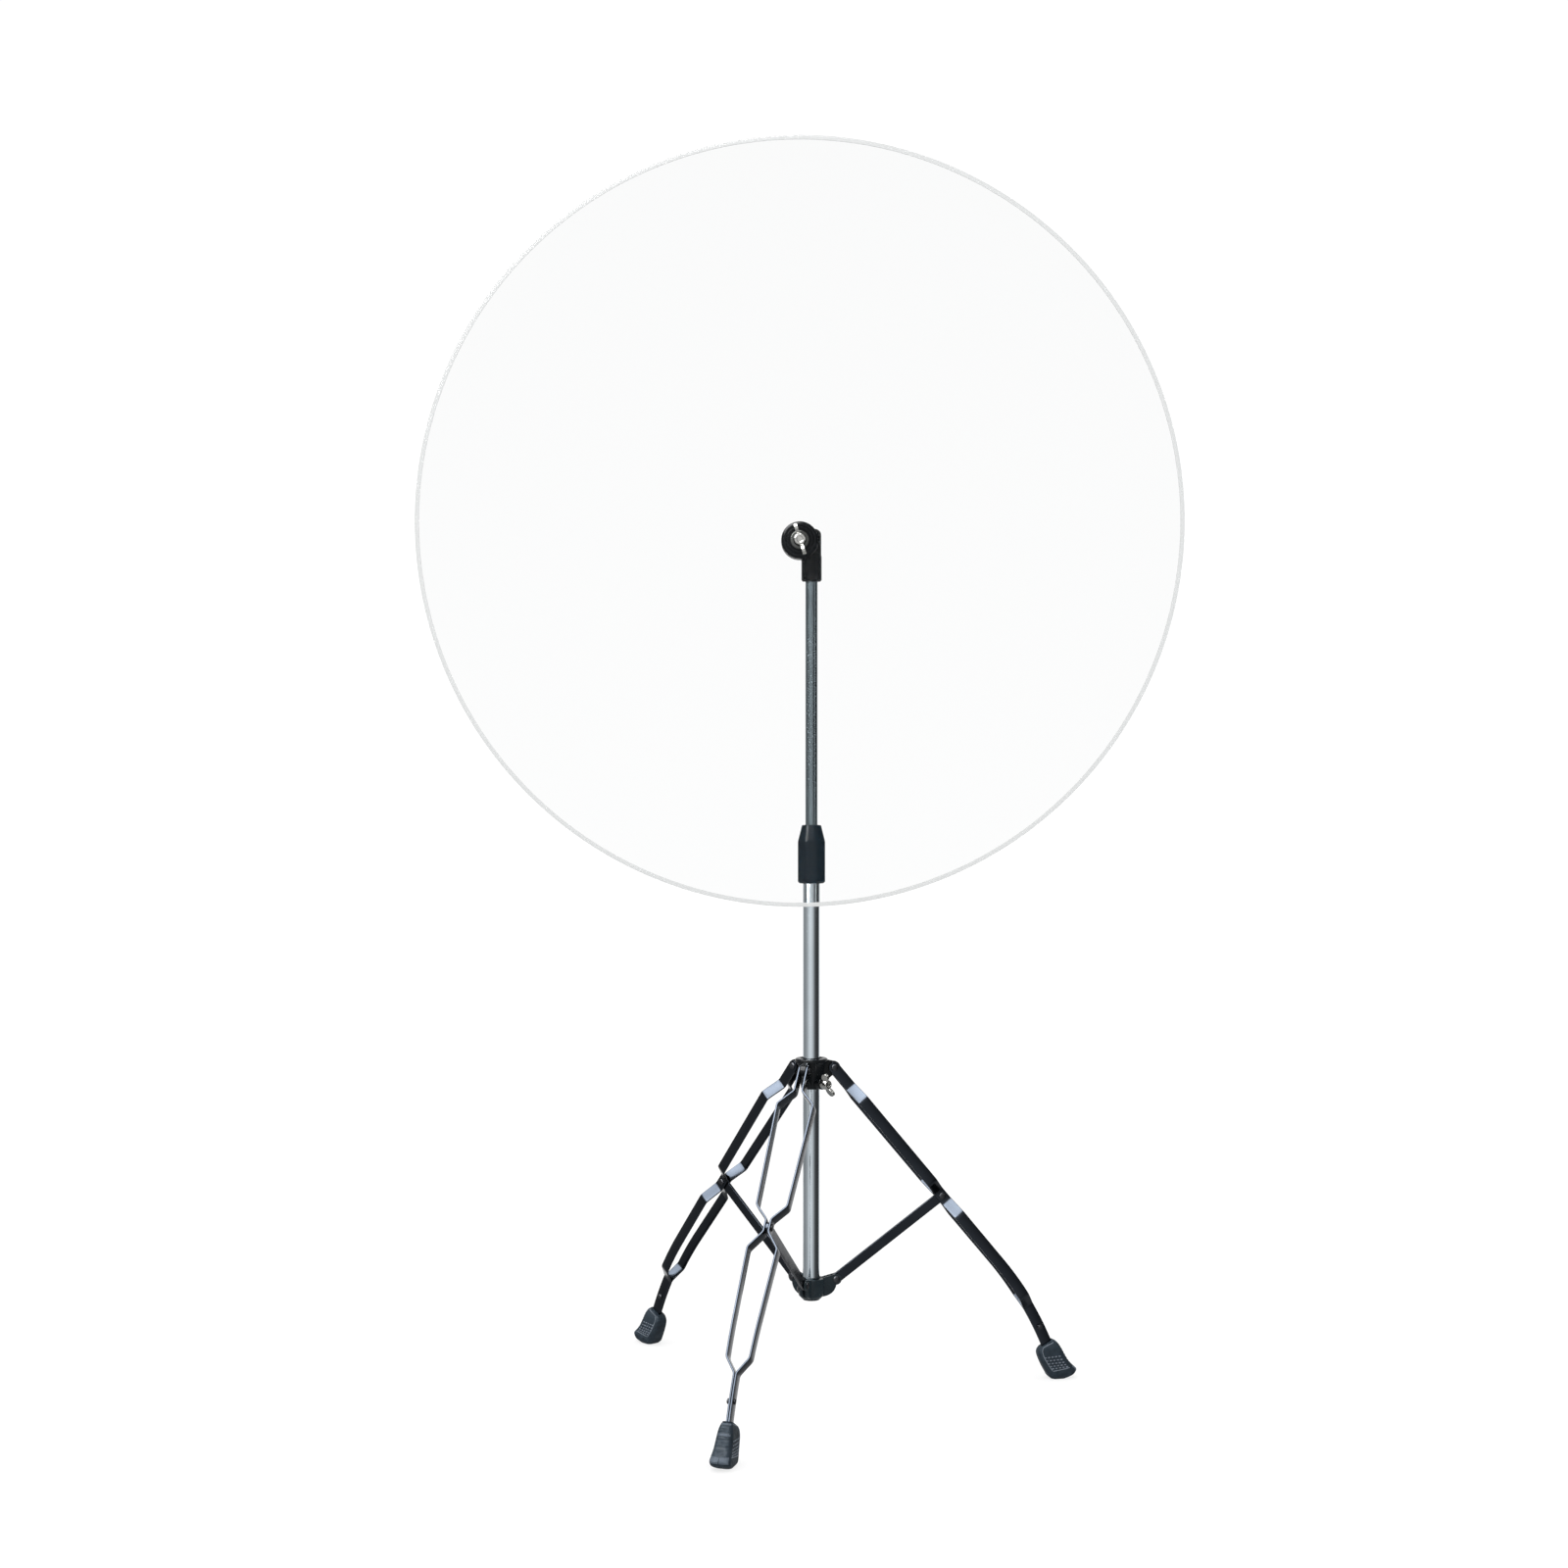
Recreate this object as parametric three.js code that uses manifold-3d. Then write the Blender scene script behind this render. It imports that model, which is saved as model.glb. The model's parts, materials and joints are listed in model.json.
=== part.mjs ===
// Round clear drum shield on a light folding tripod stand.
// Millimetres, +Z up, +X to the right and +Y away from the front.
// Every piece is first placed about the mast axis with the floor at z = 0. The last lines move the
// whole assembly so that its origin is the middle of its box, on the floor.

import * as THREE from "three";
import { mergeVertices } from "three/addons/utils/BufferGeometryUtils.js";
import Module from "manifold-3d";

// Fits shared by all pieces
const gap = 0.3;
const overrun = 2;
const edgeBreak = 0.8;

// Facets round a full turn
const shieldFacets = 96;
const tubeFacets = 28;
const knobFacets = 24;
const wingFacets = 16;
const pinFacets = 12;
const arcFacets = 6;
const hexSides = 6;

// Shield panel
const shieldDiameter = 1000;
const shieldThickness = 5;
const shieldEdgeBevel = 1;
const shieldCentreHeight = 1143;
const shieldSideOffset = 15.6;
const shieldHoleDiameter = 8;

// Mast tubes
const baseTubeDiameter = 22.2;
const upperTubeDiameter = 15.9;
const tubeWall = 1.2;
const baseTubeBottom = 125;
const baseTubeTop = 710;
const upperTubeBottom = 500;

// Height clamp: threaded collar, split collet and nut
const nutBottom = 674.5;
const nutShoulder = 728.5;
const nutTop = 750.5;
const nutDiameter = 37.5;
const nutFlatWidth = 35.6;
const nutTopDiameter = 25.7;
const nutFlats = 8;
const nutEdgeRadius = 2.5;
const collarDiameter = 28;
const collarLipHeight = 4;
const collarLength = 32;
const colletLength = 64;
const colletFlangeThickness = 3.2;
const colletConeHeight = 24;
const colletNoseThickness = 1.4;
const colletSlots = 4;
const colletSlotWidth = 1.6;

// Sliding hub that carries the legs
const legHubBelowPivot = 27;
const legHubAbovePivot = 13;
const legHubFlangeDiameter = 43;
const legHubFlangeThickness = 5;
const legHubBarrelDiameter = 35;
const legHubFootDiameter = 27;
const legHubLugThickness = 7.4;
const legHubLugRadius = 8.5;
const legHubLugBelowPivot = 22;
const legHubBossDiameter = 15;
const legHubBossReach = 23;
const legHubBossBelowPivot = 19;

// Fixed hub that carries the struts
const lowerHubBelowPivot = 24.3;
const lowerHubAbovePivot = 2.5;
const lowerHubDiameter = 34;
const lowerHubArmThickness = 10;
const lowerHubArmRadius = 7.2;
const lowerHubPinDiameter = 4;
const lowerHubPinBelowPivot = 11;
const lowerHubPinHeadDiameter = 7;
const lowerHubPinHeadThickness = 1.4;
const lowerHubBellyShare = 0.75;
const lowerHubFootBevel = 4;
const plugFlangeThickness = 2.4;
const plugDepth = 4;

// Pivot places of one leg, as radius from the mast axis and height
const legPivotRadius = 30;
const legPivotHeight = 428.8;
const midPivotRadius = 177.8;
const midPivotHeight = 252.7;
const strutPivotRadius = 33;
const strutPivotHeight = 148;

// Legs: two bowed straps that are pinched at the hub, at the strut and at the foot
const legAngles = { right: 11.85, rear: 131.85, front: 251.85 };
const strapWidth = 15;
const strapThickness = 2.5;
const strapBendLength = 3.5;
const strapRoundSteps = 3;
const hubPinchOffset = 5.25;
const upperSpreadStart = 34;
const upperSpreadLength = 20;
const upperLoopTopOffset = 24.3;
const upperLoopLowOffset = 20.2;
const gatherLength = 19;
const midPinchHalfLength = 9;
const midPinchOffset = 3.25;
const lowerSpreadLength = 22;
const lowerLoopTopOffset = 19.3;
const lowerLoopLowOffset = 14.8;
const lowerGatherStart = 406;
const footPinchOffset = 1.4;
const kneeStart = 349;
const kneeLength = 134;
const kneeTurn = 17;
const kneeSteps = 5;
const strapTail = 34;

// Pivot rivets, bolts and spacers
const pivotDiameter = 6;
const rivetHeadDiameter = 9;
const rivetHeadHeight = 2;
const footScrewAlong = 458;
const footScrewDiameter = 4;
const footScrewHeadDiameter = 7;
const footScrewHeadHeight = 1.8;
const footNutWidth = 6.4;
const footNutThickness = 3.2;

// Struts
const strutWidth = 13.5;
const strutThickness = 3.4;

// Rubber boots. Each row is one section, from the collar down to the sole: the inner and outer
// distance from the foot of the strap, the inner and outer height, and the width.
const bootFootRadius = 344;
const bootSections = [
  { inner: -26.5, innerHeight: 43.5, outer: -11, outerHeight: 52, width: 13.5 },
  { inner: -30.5, innerHeight: 41.5, outer: -6, outerHeight: 49.5, width: 16.5 },
  { inner: -33, innerHeight: 36.5, outer: -1, outerHeight: 43.5, width: 20 },
  { inner: -32.2, innerHeight: 30.5, outer: 4.5, outerHeight: 33.5, width: 22.5 },
  { inner: -28.3, innerHeight: 21, outer: 10.5, outerHeight: 23.5, width: 24.5 },
  { inner: -24.2, innerHeight: 13, outer: 17, outerHeight: 16.5, width: 26.5 },
  { inner: -21, innerHeight: 7.5, outer: 21.3, outerHeight: 11.5, width: 28 },
  { inner: -18.5, innerHeight: 3, outer: 17.5, outerHeight: 5, width: 27.4 },
  { inner: -15, innerHeight: 0, outer: 7, outerHeight: 0, width: 22 },
];
const bootCornerShare = 0.62;
const bootCornerSteps = 3;
const bootSocketGap = 0.35;

// Swivel clutch that holds the shield
const boltHeight = 1120;
const boltSideOffset = 15.6;
const neckDiameter = 26.5;
const neckBottom = 1068;
const neckTopAboveBolt = 17;
const neckTopRadius = 9;
const neckSocketDepth = 37;
const neckEdgeRadius = 2;
const clutchDiameter = 48;
const clutchRearDiscThickness = 28;
const clutchCapThickness = 6;
const clutchEdgeRadius = 2.4;
const clutchGrooveWidth = 1.2;
const clutchGrooveDepth = 0.9;
const padThickness = 2;
const padDiameter = 45;
const nutToShieldClearance = 4.2;
const washerDiameter = 24;
const washerThickness = 1.6;
const clampBoltDiameter = 6;
const clampNutWidth = 10;
const clampNutThickness = 5;

// Wing bolts
const wingHubDiameter = 17;
const wingHubTipDiameter = 14.4;
const wingHubLength = 13;
const wingHubRecessDiameter = 8;
const wingSpan = 42;
const wingThickness = 4.4;
const wingReach = 12;
const wingRootShare = 0.33;
const wingCrestShare = 0.17;
const wingLean = 108;
const smallWingScaleShare = 0.8;
const hubWingAfterRightLeg = -60;
const hubWingTilt = 25;

// Sizes worked out from the ones above
const radians = Math.PI / 180;
const baseTubeRadius = baseTubeDiameter / 2;
const baseTubeBore = baseTubeRadius - tubeWall;
const upperTubeRadius = upperTubeDiameter / 2;
const nutRadius = nutDiameter / 2;
const pivotRadius = pivotDiameter / 2;
const legRun = midPivotRadius - legPivotRadius;
const legDrop = legPivotHeight - midPivotHeight;
const legSlope = Math.atan2(legDrop, legRun);
const midPivotAlong = Math.hypot(legRun, legDrop);
const strutRun = midPivotRadius - strutPivotRadius;
const strutRise = midPivotHeight - strutPivotHeight;
const strutLength = Math.hypot(strutRun, strutRise);
const strutSlope = Math.atan2(strutRise, strutRun);
const bootStart = kneeStart + kneeLength;
const strapEnd = bootStart + strapTail;
const shieldBackDepth = nutRadius + nutToShieldClearance;
const shieldFrontDepth = shieldBackDepth + shieldThickness;
const rearPadBackDepth = shieldBackDepth - gap - padThickness;
const rearDiscFrontDepth = rearPadBackDepth - gap;
const clutchBackDepth = rearDiscFrontDepth - clutchRearDiscThickness;
const frontPadBackDepth = shieldFrontDepth + gap;
const capBackDepth = frontPadBackDepth + padThickness + gap;
const capFrontDepth = capBackDepth + clutchCapThickness;
const washerBackDepth = capFrontDepth + gap;
const wingBoltSeatDepth = washerBackDepth + washerThickness + gap;
const clampBoltRadius = clampBoltDiameter / 2;
const clampNutPocketDepth = clampNutThickness + gap;
const upperTubeTop = neckBottom + neckSocketDepth - gap;
const legHubBottom = legPivotHeight - legHubBelowPivot;
const legHubTop = legPivotHeight + legHubAbovePivot;
const legHubLugFoot = legPivotHeight - legHubLugBelowPivot;
const legHubBossHeight = legPivotHeight - legHubBossBelowPivot;
const lowerHubBottom = strutPivotHeight - lowerHubBelowPivot;
const lowerHubTop = strutPivotHeight + lowerHubAbovePivot;
const lowerHubPinHeight = strutPivotHeight - lowerHubPinBelowPivot;

const colours = {
  acrylic: { color: 0xf4f8f9, roughness: 0.05, metalness: 0, transparent: true, opacity: 0.25 },
  chrome: { color: 0xd9dde0, roughness: 0.12, metalness: 1 },
  nickel: { color: 0x9aa0a6, roughness: 0.2, metalness: 1 },
  blackNickel: { color: 0x4b5258, roughness: 0.25, metalness: 1 },
  nylon: { color: 0x20262e, roughness: 0.5, metalness: 0 },
  casting: { color: 0x23282c, roughness: 0.45, metalness: 0 },
  rubber: { color: 0x3d4650, roughness: 0.8, metalness: 0 },
};

// Solids: joins and cuts work on closed meshes with shared vertices

const wasm = await Module();
wasm.setup();

function signedVolume(positions, indices) {
  const a = new THREE.Vector3();
  const b = new THREE.Vector3();
  const c = new THREE.Vector3();
  let volume = 0;
  for (let i = 0; i < indices.length; i += 3) {
    a.fromBufferAttribute(positions, indices[i]);
    b.fromBufferAttribute(positions, indices[i + 1]);
    c.fromBufferAttribute(positions, indices[i + 2]);
    volume += a.dot(b.cross(c));
  }
  return volume;
}

// Welds the vertices, drops triangles without area and turns the faces outwards
function closed(geometry) {
  const bare = geometry.index ? geometry.clone() : mergeVertices(geometry);
  bare.deleteAttribute("normal");
  bare.deleteAttribute("uv");
  const welded = mergeVertices(bare);
  const kept = [];
  const index = welded.index.array;
  for (let i = 0; i < index.length; i += 3) {
    const [a, b, c] = [index[i], index[i + 1], index[i + 2]];
    if (a !== b && b !== c && c !== a) kept.push(a, b, c);
  }
  if (signedVolume(welded.attributes.position, kept) < 0) kept.reverse();
  welded.setIndex(kept);
  welded.computeVertexNormals();
  return welded;
}

function solidOf(geometry) {
  const body = closed(geometry);
  const vertProperties = Float32Array.from(body.attributes.position.array);
  const triVerts = Uint32Array.from(body.index.array);
  return new wasm.Manifold(new wasm.Mesh({ numProp: 3, vertProperties, triVerts }));
}

function geometryOf(solid) {
  const { vertProperties, triVerts } = solid.getMesh();
  const geometry = new THREE.BufferGeometry();
  geometry.setAttribute("position", new THREE.BufferAttribute(vertProperties, 3));
  geometry.setIndex(new THREE.BufferAttribute(triVerts, 1));
  geometry.computeVertexNormals();
  return geometry;
}

function join(...geometries) {
  const solids = geometries.map(solidOf);
  return geometryOf(solids.reduce((sum, next) => sum.add(next)));
}

function cut(geometry, ...tools) {
  const solids = tools.map(solidOf);
  return geometryOf(solids.reduce((rest, next) => rest.subtract(next), solidOf(geometry)));
}

function common(geometry, other) {
  return geometryOf(solidOf(geometry).intersect(solidOf(other)));
}

// Turned body about Z from a closed profile of [radius, height] points
function turned(profile, facets) {
  const points = profile.map(([radius, height]) => new THREE.Vector2(radius, height));
  const last = profile[profile.length - 1];
  const onAxis = profile[0][0] === 0 && last[0] === 0;
  if (!onAxis) points.push(points[0].clone());
  const body = new THREE.LatheGeometry(points, facets);
  body.rotateX(Math.PI / 2);
  return closed(body);
}

// Solid round bar along Z
function bar(radius, bottom, top, facets) {
  return turned([[0, bottom], [radius, bottom], [radius, top], [0, top]], facets);
}

// Round bar along Z with both rims broken
function roundedBar(radius, bottom, top, rim, facets) {
  const profile = [[0, bottom], [radius - rim, bottom], [radius, bottom + rim]];
  profile.push([radius, top - rim], [radius - rim, top], [0, top]);
  return turned(profile, facets);
}

function ring(bore, radius, bottom, top, facets) {
  return turned([[bore, bottom], [radius, bottom], [radius, top], [bore, top]], facets);
}

// Prism of an outline in the radius-height plane, centred on the leg's own plane
function plate(outline, thickness) {
  const options = { depth: thickness, bevelEnabled: false, curveSegments: arcFacets };
  const body = new THREE.ExtrudeGeometry(outline, options);
  body.translate(0, 0, -thickness / 2);
  body.rotateX(Math.PI / 2);
  return closed(body);
}

// Regular prism about Z, given its width across flats
function flatted(width, sides, bottom, top) {
  const body = new THREE.CylinderGeometry(1, 1, 1, sides);
  const radius = width / 2 / Math.cos(Math.PI / sides);
  body.rotateX(Math.PI / 2);
  body.rotateZ(Math.PI / sides);
  body.scale(radius, radius, top - bottom);
  body.translate(0, 0, (top + bottom) / 2);
  return closed(body);
}

function block(sizeX, sizeY, sizeZ) {
  return new THREE.BoxGeometry(sizeX, sizeY, sizeZ);
}

// Skin over sections of equal point count, closed by a fan at both ends
function lofted(sections) {
  const count = sections[0].length;
  const positions = sections.flat().flatMap((point) => [point.x, point.y, point.z]);
  const indices = [];
  for (let row = 0; row + 1 < sections.length; row += 1) {
    for (let column = 0; column < count; column += 1) {
      const a = row * count + column;
      const b = row * count + ((column + 1) % count);
      indices.push(a, b, b + count, a, b + count, a + count);
    }
  }
  const lastRow = (sections.length - 1) * count;
  for (let column = 1; column + 1 < count; column += 1) {
    indices.push(0, column + 1, column);
    indices.push(lastRow, lastRow + column, lastRow + column + 1);
  }
  const body = new THREE.BufferGeometry();
  body.setAttribute("position", new THREE.Float32BufferAttribute(positions, 3));
  body.setIndex(indices);
  return closed(body);
}

// Turns a body made along Z so that Z points to the front, at the shield's bolt
function facingFront(body) {
  body.rotateX(Math.PI / 2);
  body.translate(-boltSideOffset, 0, boltHeight);
  return body;
}

// Turns a body made along Z so that Z points along the leg's tangent
function alongPivot(body, radius, height) {
  body.rotateX(-Math.PI / 2);
  body.translate(radius, 0, height);
  return body;
}

// Assembly helpers

const assembly = new THREE.Group();

function add(parent, name, geometry, look) {
  const mesh = new THREE.Mesh(geometry, new THREE.MeshStandardMaterial(look));
  mesh.name = name;
  parent.add(mesh);
  return mesh;
}

// Mast

function baseTube() {
  const tube = ring(baseTubeBore, baseTubeRadius, baseTubeBottom, baseTubeTop, tubeFacets);
  return cut(tube, lowerHubPinHole());
}

function upperTube() {
  const bore = upperTubeRadius - tubeWall;
  return ring(bore, upperTubeRadius, upperTubeBottom, upperTubeTop, tubeFacets);
}

function tubePlug() {
  const stem = baseTubeBore - gap;
  const flangeTop = baseTubeBottom - gap;
  const flangeFoot = flangeTop - plugFlangeThickness;
  const stemTop = flangeTop + plugDepth;
  const profile = [[0, flangeFoot], [baseTubeRadius, flangeFoot], [baseTubeRadius, flangeTop]];
  profile.push([stem, flangeTop], [stem, stemTop], [0, stemTop]);
  return turned(profile, tubeFacets);
}

// Height clamp

const collarBore = baseTubeRadius + gap;
const collarRadius = collarDiameter / 2;
const collarTop = baseTubeTop + gap + collarLipHeight;
const colletBore = upperTubeRadius + gap;
const colletSleeveRadius = baseTubeBore - gap;
const colletFlangeBottom = collarTop + gap;
const colletConeBottom = colletFlangeBottom + colletFlangeThickness;
const colletTop = colletConeBottom + colletConeHeight;
const colletNoseRadius = colletBore + colletNoseThickness;

function threadedCollar() {
  const lipBore = colletSleeveRadius + gap;
  const profile = [[collarBore, collarTop - collarLength], [collarRadius, collarTop - collarLength]];
  profile.push([collarRadius, collarTop], [lipBore, collarTop]);
  profile.push([lipBore, baseTubeTop + gap], [collarBore, baseTubeTop + gap]);
  return turned(profile, knobFacets);
}

function collet() {
  const bottom = colletTop - colletLength;
  const flange = collarRadius - gap;
  const profile = [[colletBore, bottom], [colletSleeveRadius, bottom]];
  profile.push([colletSleeveRadius, colletFlangeBottom], [flange, colletFlangeBottom]);
  profile.push([flange, colletConeBottom], [colletNoseRadius, colletTop], [colletBore, colletTop]);
  const body = turned(profile, knobFacets);
  const slots = [];
  const slotReach = flange + overrun;
  for (let i = 0; i < colletSlots / 2; i += 1) {
    const slot = block(2 * slotReach, colletSlotWidth, colletConeHeight + overrun);
    slot.translate(0, 0, colletConeBottom + (colletConeHeight + overrun) / 2);
    slot.rotateZ((i * 2 * Math.PI) / colletSlots + Math.PI / nutFlats);
    slots.push(slot);
  }
  return cut(body, ...slots);
}

function clampNut() {
  const rim = nutEdgeRadius;
  const outside = [[0, nutBottom], [nutRadius - rim, nutBottom], [nutRadius, nutBottom + rim]];
  outside.push([nutRadius, nutShoulder], [nutTopDiameter / 2, nutTop], [0, nutTop]);
  const flats = flatted(nutFlatWidth, nutFlats, nutBottom - overrun, nutTop + overrun);
  const threadBore = collarRadius + gap;
  const hollow = [[0, nutBottom - overrun], [threadBore, nutBottom - overrun]];
  hollow.push([threadBore, colletConeBottom], [colletNoseRadius + gap, colletTop]);
  hollow.push([colletBore, colletTop + gap], [colletBore, nutTop + overrun]);
  hollow.push([0, nutTop + overrun]);
  return cut(common(turned(outside, knobFacets), flats), turned(hollow, knobFacets));
}

// Outline of a lug that runs from the hub's wall to a round end about its pivot. Its lower edge is
// straight, or bulges by a share of the way to the corner below the pivot.
function lugOutline(rootRadius, rootBottom, rootTop, pivot, endRadius, bellyShare) {
  const outline = new THREE.Shape();
  const endBottom = pivot.y - endRadius;
  outline.moveTo(rootRadius, rootBottom);
  if (bellyShare > 0) {
    const control = new THREE.Vector2(rootRadius + pivot.x, rootBottom + endBottom).divideScalar(2);
    control.lerp(new THREE.Vector2(pivot.x, rootBottom), bellyShare);
    outline.quadraticCurveTo(control.x, control.y, pivot.x, endBottom);
  } else {
    outline.lineTo(pivot.x, endBottom);
  }
  outline.absarc(pivot.x, pivot.y, endRadius, -Math.PI / 2, Math.PI / 2, false);
  outline.lineTo(rootRadius, rootTop);
  outline.closePath();
  return outline;
}

function atLegAngle(body, angle) {
  return body.rotateZ(angle * radians);
}

function pivotHole(radius, height, holeRadius, reach) {
  return alongPivot(bar(holeRadius, -reach, reach, pinFacets), radius, height);
}

function legHub() {
  const bore = baseTubeRadius + gap;
  const flange = legHubFlangeDiameter / 2;
  const barrel = legHubBarrelDiameter / 2;
  const flangeFoot = legHubTop - legHubFlangeThickness;
  const profile = [[bore, legHubBottom], [legHubFootDiameter / 2, legHubBottom]];
  profile.push([barrel, flangeFoot - legHubFlangeThickness], [flange, flangeFoot]);
  profile.push([flange, legHubTop - edgeBreak], [flange - edgeBreak, legHubTop], [bore, legHubTop]);
  let body = turned(profile, knobFacets);
  const wallMiddle = (bore + legHubFootDiameter / 2) / 2;
  const lugTop = legHubTop - edgeBreak;
  const pivot = new THREE.Vector2(legPivotRadius, legPivotHeight);
  const holes = [];
  for (const angle of Object.values(legAngles)) {
    const outline = lugOutline(wallMiddle, legHubLugFoot, lugTop, pivot, legHubLugRadius, 0);
    body = join(body, atLegAngle(plate(outline, legHubLugThickness), angle));
    const hole = pivotHole(legPivotRadius, legPivotHeight, pivotRadius + gap, legHubLugThickness);
    holes.push(atLegAngle(hole, angle));
  }
  const boss = radialBar(legHubBossDiameter / 2, wallMiddle, legHubBossReach, knobFacets);
  const thread = radialBar(hubWingShankRadius + gap, 0, legHubBossReach + overrun, pinFacets);
  return cut(join(body, boss), thread, ...holes);
}

// Round bar that points outwards at the hub's wing bolt
function radialBar(radius, from, to, facets) {
  const body = bar(radius, from, to, facets);
  return outwardsAtBoss(body);
}

function outwardsAtBoss(body) {
  body.rotateY(Math.PI / 2);
  body.translate(0, 0, legHubBossHeight);
  return body.rotateZ((legAngles.right + hubWingAfterRightLeg) * radians);
}

function lowerHubPinHole() {
  return acrossLowerHub(bar(lowerHubPinDiameter / 2 + gap, 0, lowerHubDiameter, pinFacets));
}

// Turns a body made along Z so that Z points outwards between two arms of the lower hub
function acrossLowerHub(body) {
  body.rotateY(Math.PI / 2);
  body.translate(0, 0, lowerHubPinHeight);
  return body.rotateZ(((legAngles.front + legAngles.rear) / 2) * radians);
}

// Blind rivet that pins the lower hub to the tube
function lowerHubPin() {
  const shank = lowerHubPinDiameter / 2;
  const head = lowerHubPinHeadDiameter / 2;
  const seat = lowerHubDiameter / 2 + gap;
  const tip = seat + lowerHubPinHeadThickness;
  const inner = baseTubeBore - lowerHubPinHeadThickness;
  const profile = [[0, inner], [shank, inner], [shank, seat], [head, seat]];
  profile.push([head, seat + edgeBreak], [shank, tip], [0, tip]);
  return acrossLowerHub(turned(profile, pinFacets));
}

function lowerHub() {
  const bore = baseTubeRadius + gap;
  const wall = lowerHubDiameter / 2;
  const profile = [[bore, lowerHubBottom], [wall - lowerHubFootBevel, lowerHubBottom]];
  profile.push([wall, lowerHubBottom + lowerHubFootBevel], [wall, lowerHubTop - edgeBreak]);
  profile.push([wall - edgeBreak, lowerHubTop], [bore, lowerHubTop]);
  let body = turned(profile, knobFacets);
  const root = (bore + wall) / 2;
  const armFoot = lowerHubBottom + lowerHubFootBevel / 2;
  const slotWidth = strutThickness + 2 * gap;
  const slotStart = strutPivotRadius - lowerHubArmRadius - gap;
  const pivot = new THREE.Vector2(strutPivotRadius, strutPivotHeight);
  const slots = [];
  for (const angle of Object.values(legAngles)) {
    const outline = lugOutline(root, armFoot, lowerHubTop, pivot, lowerHubArmRadius, lowerHubBellyShare);
    body = join(body, atLegAngle(plate(outline, lowerHubArmThickness), angle));
    const slotLength = 2 * lowerHubArmRadius + overrun;
    const slot = block(slotLength, slotWidth, 2 * lowerHubArmThickness + lowerHubDiameter);
    slot.translate(slotStart + slotLength / 2, 0, strutPivotHeight);
    slots.push(atLegAngle(slot, angle));
    const hole = pivotHole(strutPivotRadius, strutPivotHeight, pivotRadius + gap, lowerHubArmThickness);
    slots.push(atLegAngle(hole, angle));
  }
  return cut(body, lowerHubPinHole(), ...slots);
}

// Legs

// Point, outward normal and slope of a leg's middle line, a distance along it from its hub pivot
function legLine(along) {
  const straight = Math.min(along, kneeStart);
  const point = new THREE.Vector2(
    legPivotRadius + straight * Math.cos(legSlope),
    legPivotHeight - straight * Math.sin(legSlope),
  );
  const turnAll = kneeTurn * radians;
  const bent = Math.min(Math.max(along - kneeStart, 0), kneeLength);
  const turn = (turnAll * bent) / kneeLength;
  const kneeRadius = kneeLength / turnAll;
  const slope = legSlope + turn;
  point.x += kneeRadius * (Math.sin(slope) - Math.sin(legSlope));
  point.y -= kneeRadius * (Math.cos(legSlope) - Math.cos(slope));
  const tail = Math.max(along - kneeStart - kneeLength, 0);
  point.x += tail * Math.cos(slope);
  point.y -= tail * Math.sin(slope);
  return { radius: point.x, height: point.y, slope };
}

const strapCorners = [
  [0, hubPinchOffset],
  [upperSpreadStart, hubPinchOffset],
  [upperSpreadStart + upperSpreadLength, upperLoopTopOffset],
  [midPivotAlong - midPinchHalfLength - gatherLength, upperLoopLowOffset],
  [midPivotAlong - midPinchHalfLength, midPinchOffset],
  [midPivotAlong + midPinchHalfLength, midPinchOffset],
  [midPivotAlong + midPinchHalfLength + lowerSpreadLength, lowerLoopTopOffset],
  [lowerGatherStart, lowerLoopLowOffset],
  [lowerGatherStart + gatherLength, footPinchOffset],
  [strapEnd, footPinchOffset],
];

// Sideways distance of a strap's middle from the leg's plane, straight from corner to corner
function sharpOffset(along) {
  const next = strapCorners.findIndex(([at]) => at > along);
  if (next === 0) return strapCorners[0][1];
  if (next < 0) return strapCorners[strapCorners.length - 1][1];
  const [startAt, startOffset] = strapCorners[next - 1];
  const [endAt, endOffset] = strapCorners[next];
  return THREE.MathUtils.mapLinear(along, startAt, endAt, startOffset, endOffset);
}

// The same with its corners eased over one bend length each way
function strapOffset(along) {
  const before = sharpOffset(along - strapBendLength);
  const after = sharpOffset(along + strapBendLength);
  return (before + 2 * sharpOffset(along) + after) / 4;
}

function strapStations() {
  const stations = [];
  for (const [at] of strapCorners.slice(1, -1)) {
    stations.push(at - strapBendLength, at, at + strapBendLength);
  }
  for (let step = 0; step <= kneeSteps; step += 1) {
    stations.push(kneeStart + (kneeLength * step) / kneeSteps);
  }
  stations.push(strapEnd);
  return stations.sort((a, b) => a - b);
}

// One rectangular section of a strap, its thickness square to the bend
function strapSection(along, halfWidth, side) {
  const { radius, height, slope } = legLine(along);
  const rise = strapOffset(along + strapBendLength) - strapOffset(along - strapBendLength);
  const lean = side * Math.atan2(rise, 2 * strapBendLength);
  const direction = new THREE.Vector3(Math.cos(slope), 0, -Math.sin(slope));
  const across = new THREE.Vector3(Math.sin(slope), 0, Math.cos(slope));
  const tangent = new THREE.Vector3(0, 1, 0);
  const through = tangent.clone().multiplyScalar(Math.cos(lean)).addScaledVector(direction, -Math.sin(lean));
  const middle = new THREE.Vector3(radius, side * strapOffset(along), height);
  const corners = [[-1, -1], [1, -1], [1, 1], [-1, 1]];
  return corners.map(([a, b]) => middle
    .clone()
    .addScaledVector(across, a * halfWidth)
    .addScaledVector(through, (b * strapThickness) / 2));
}

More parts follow.
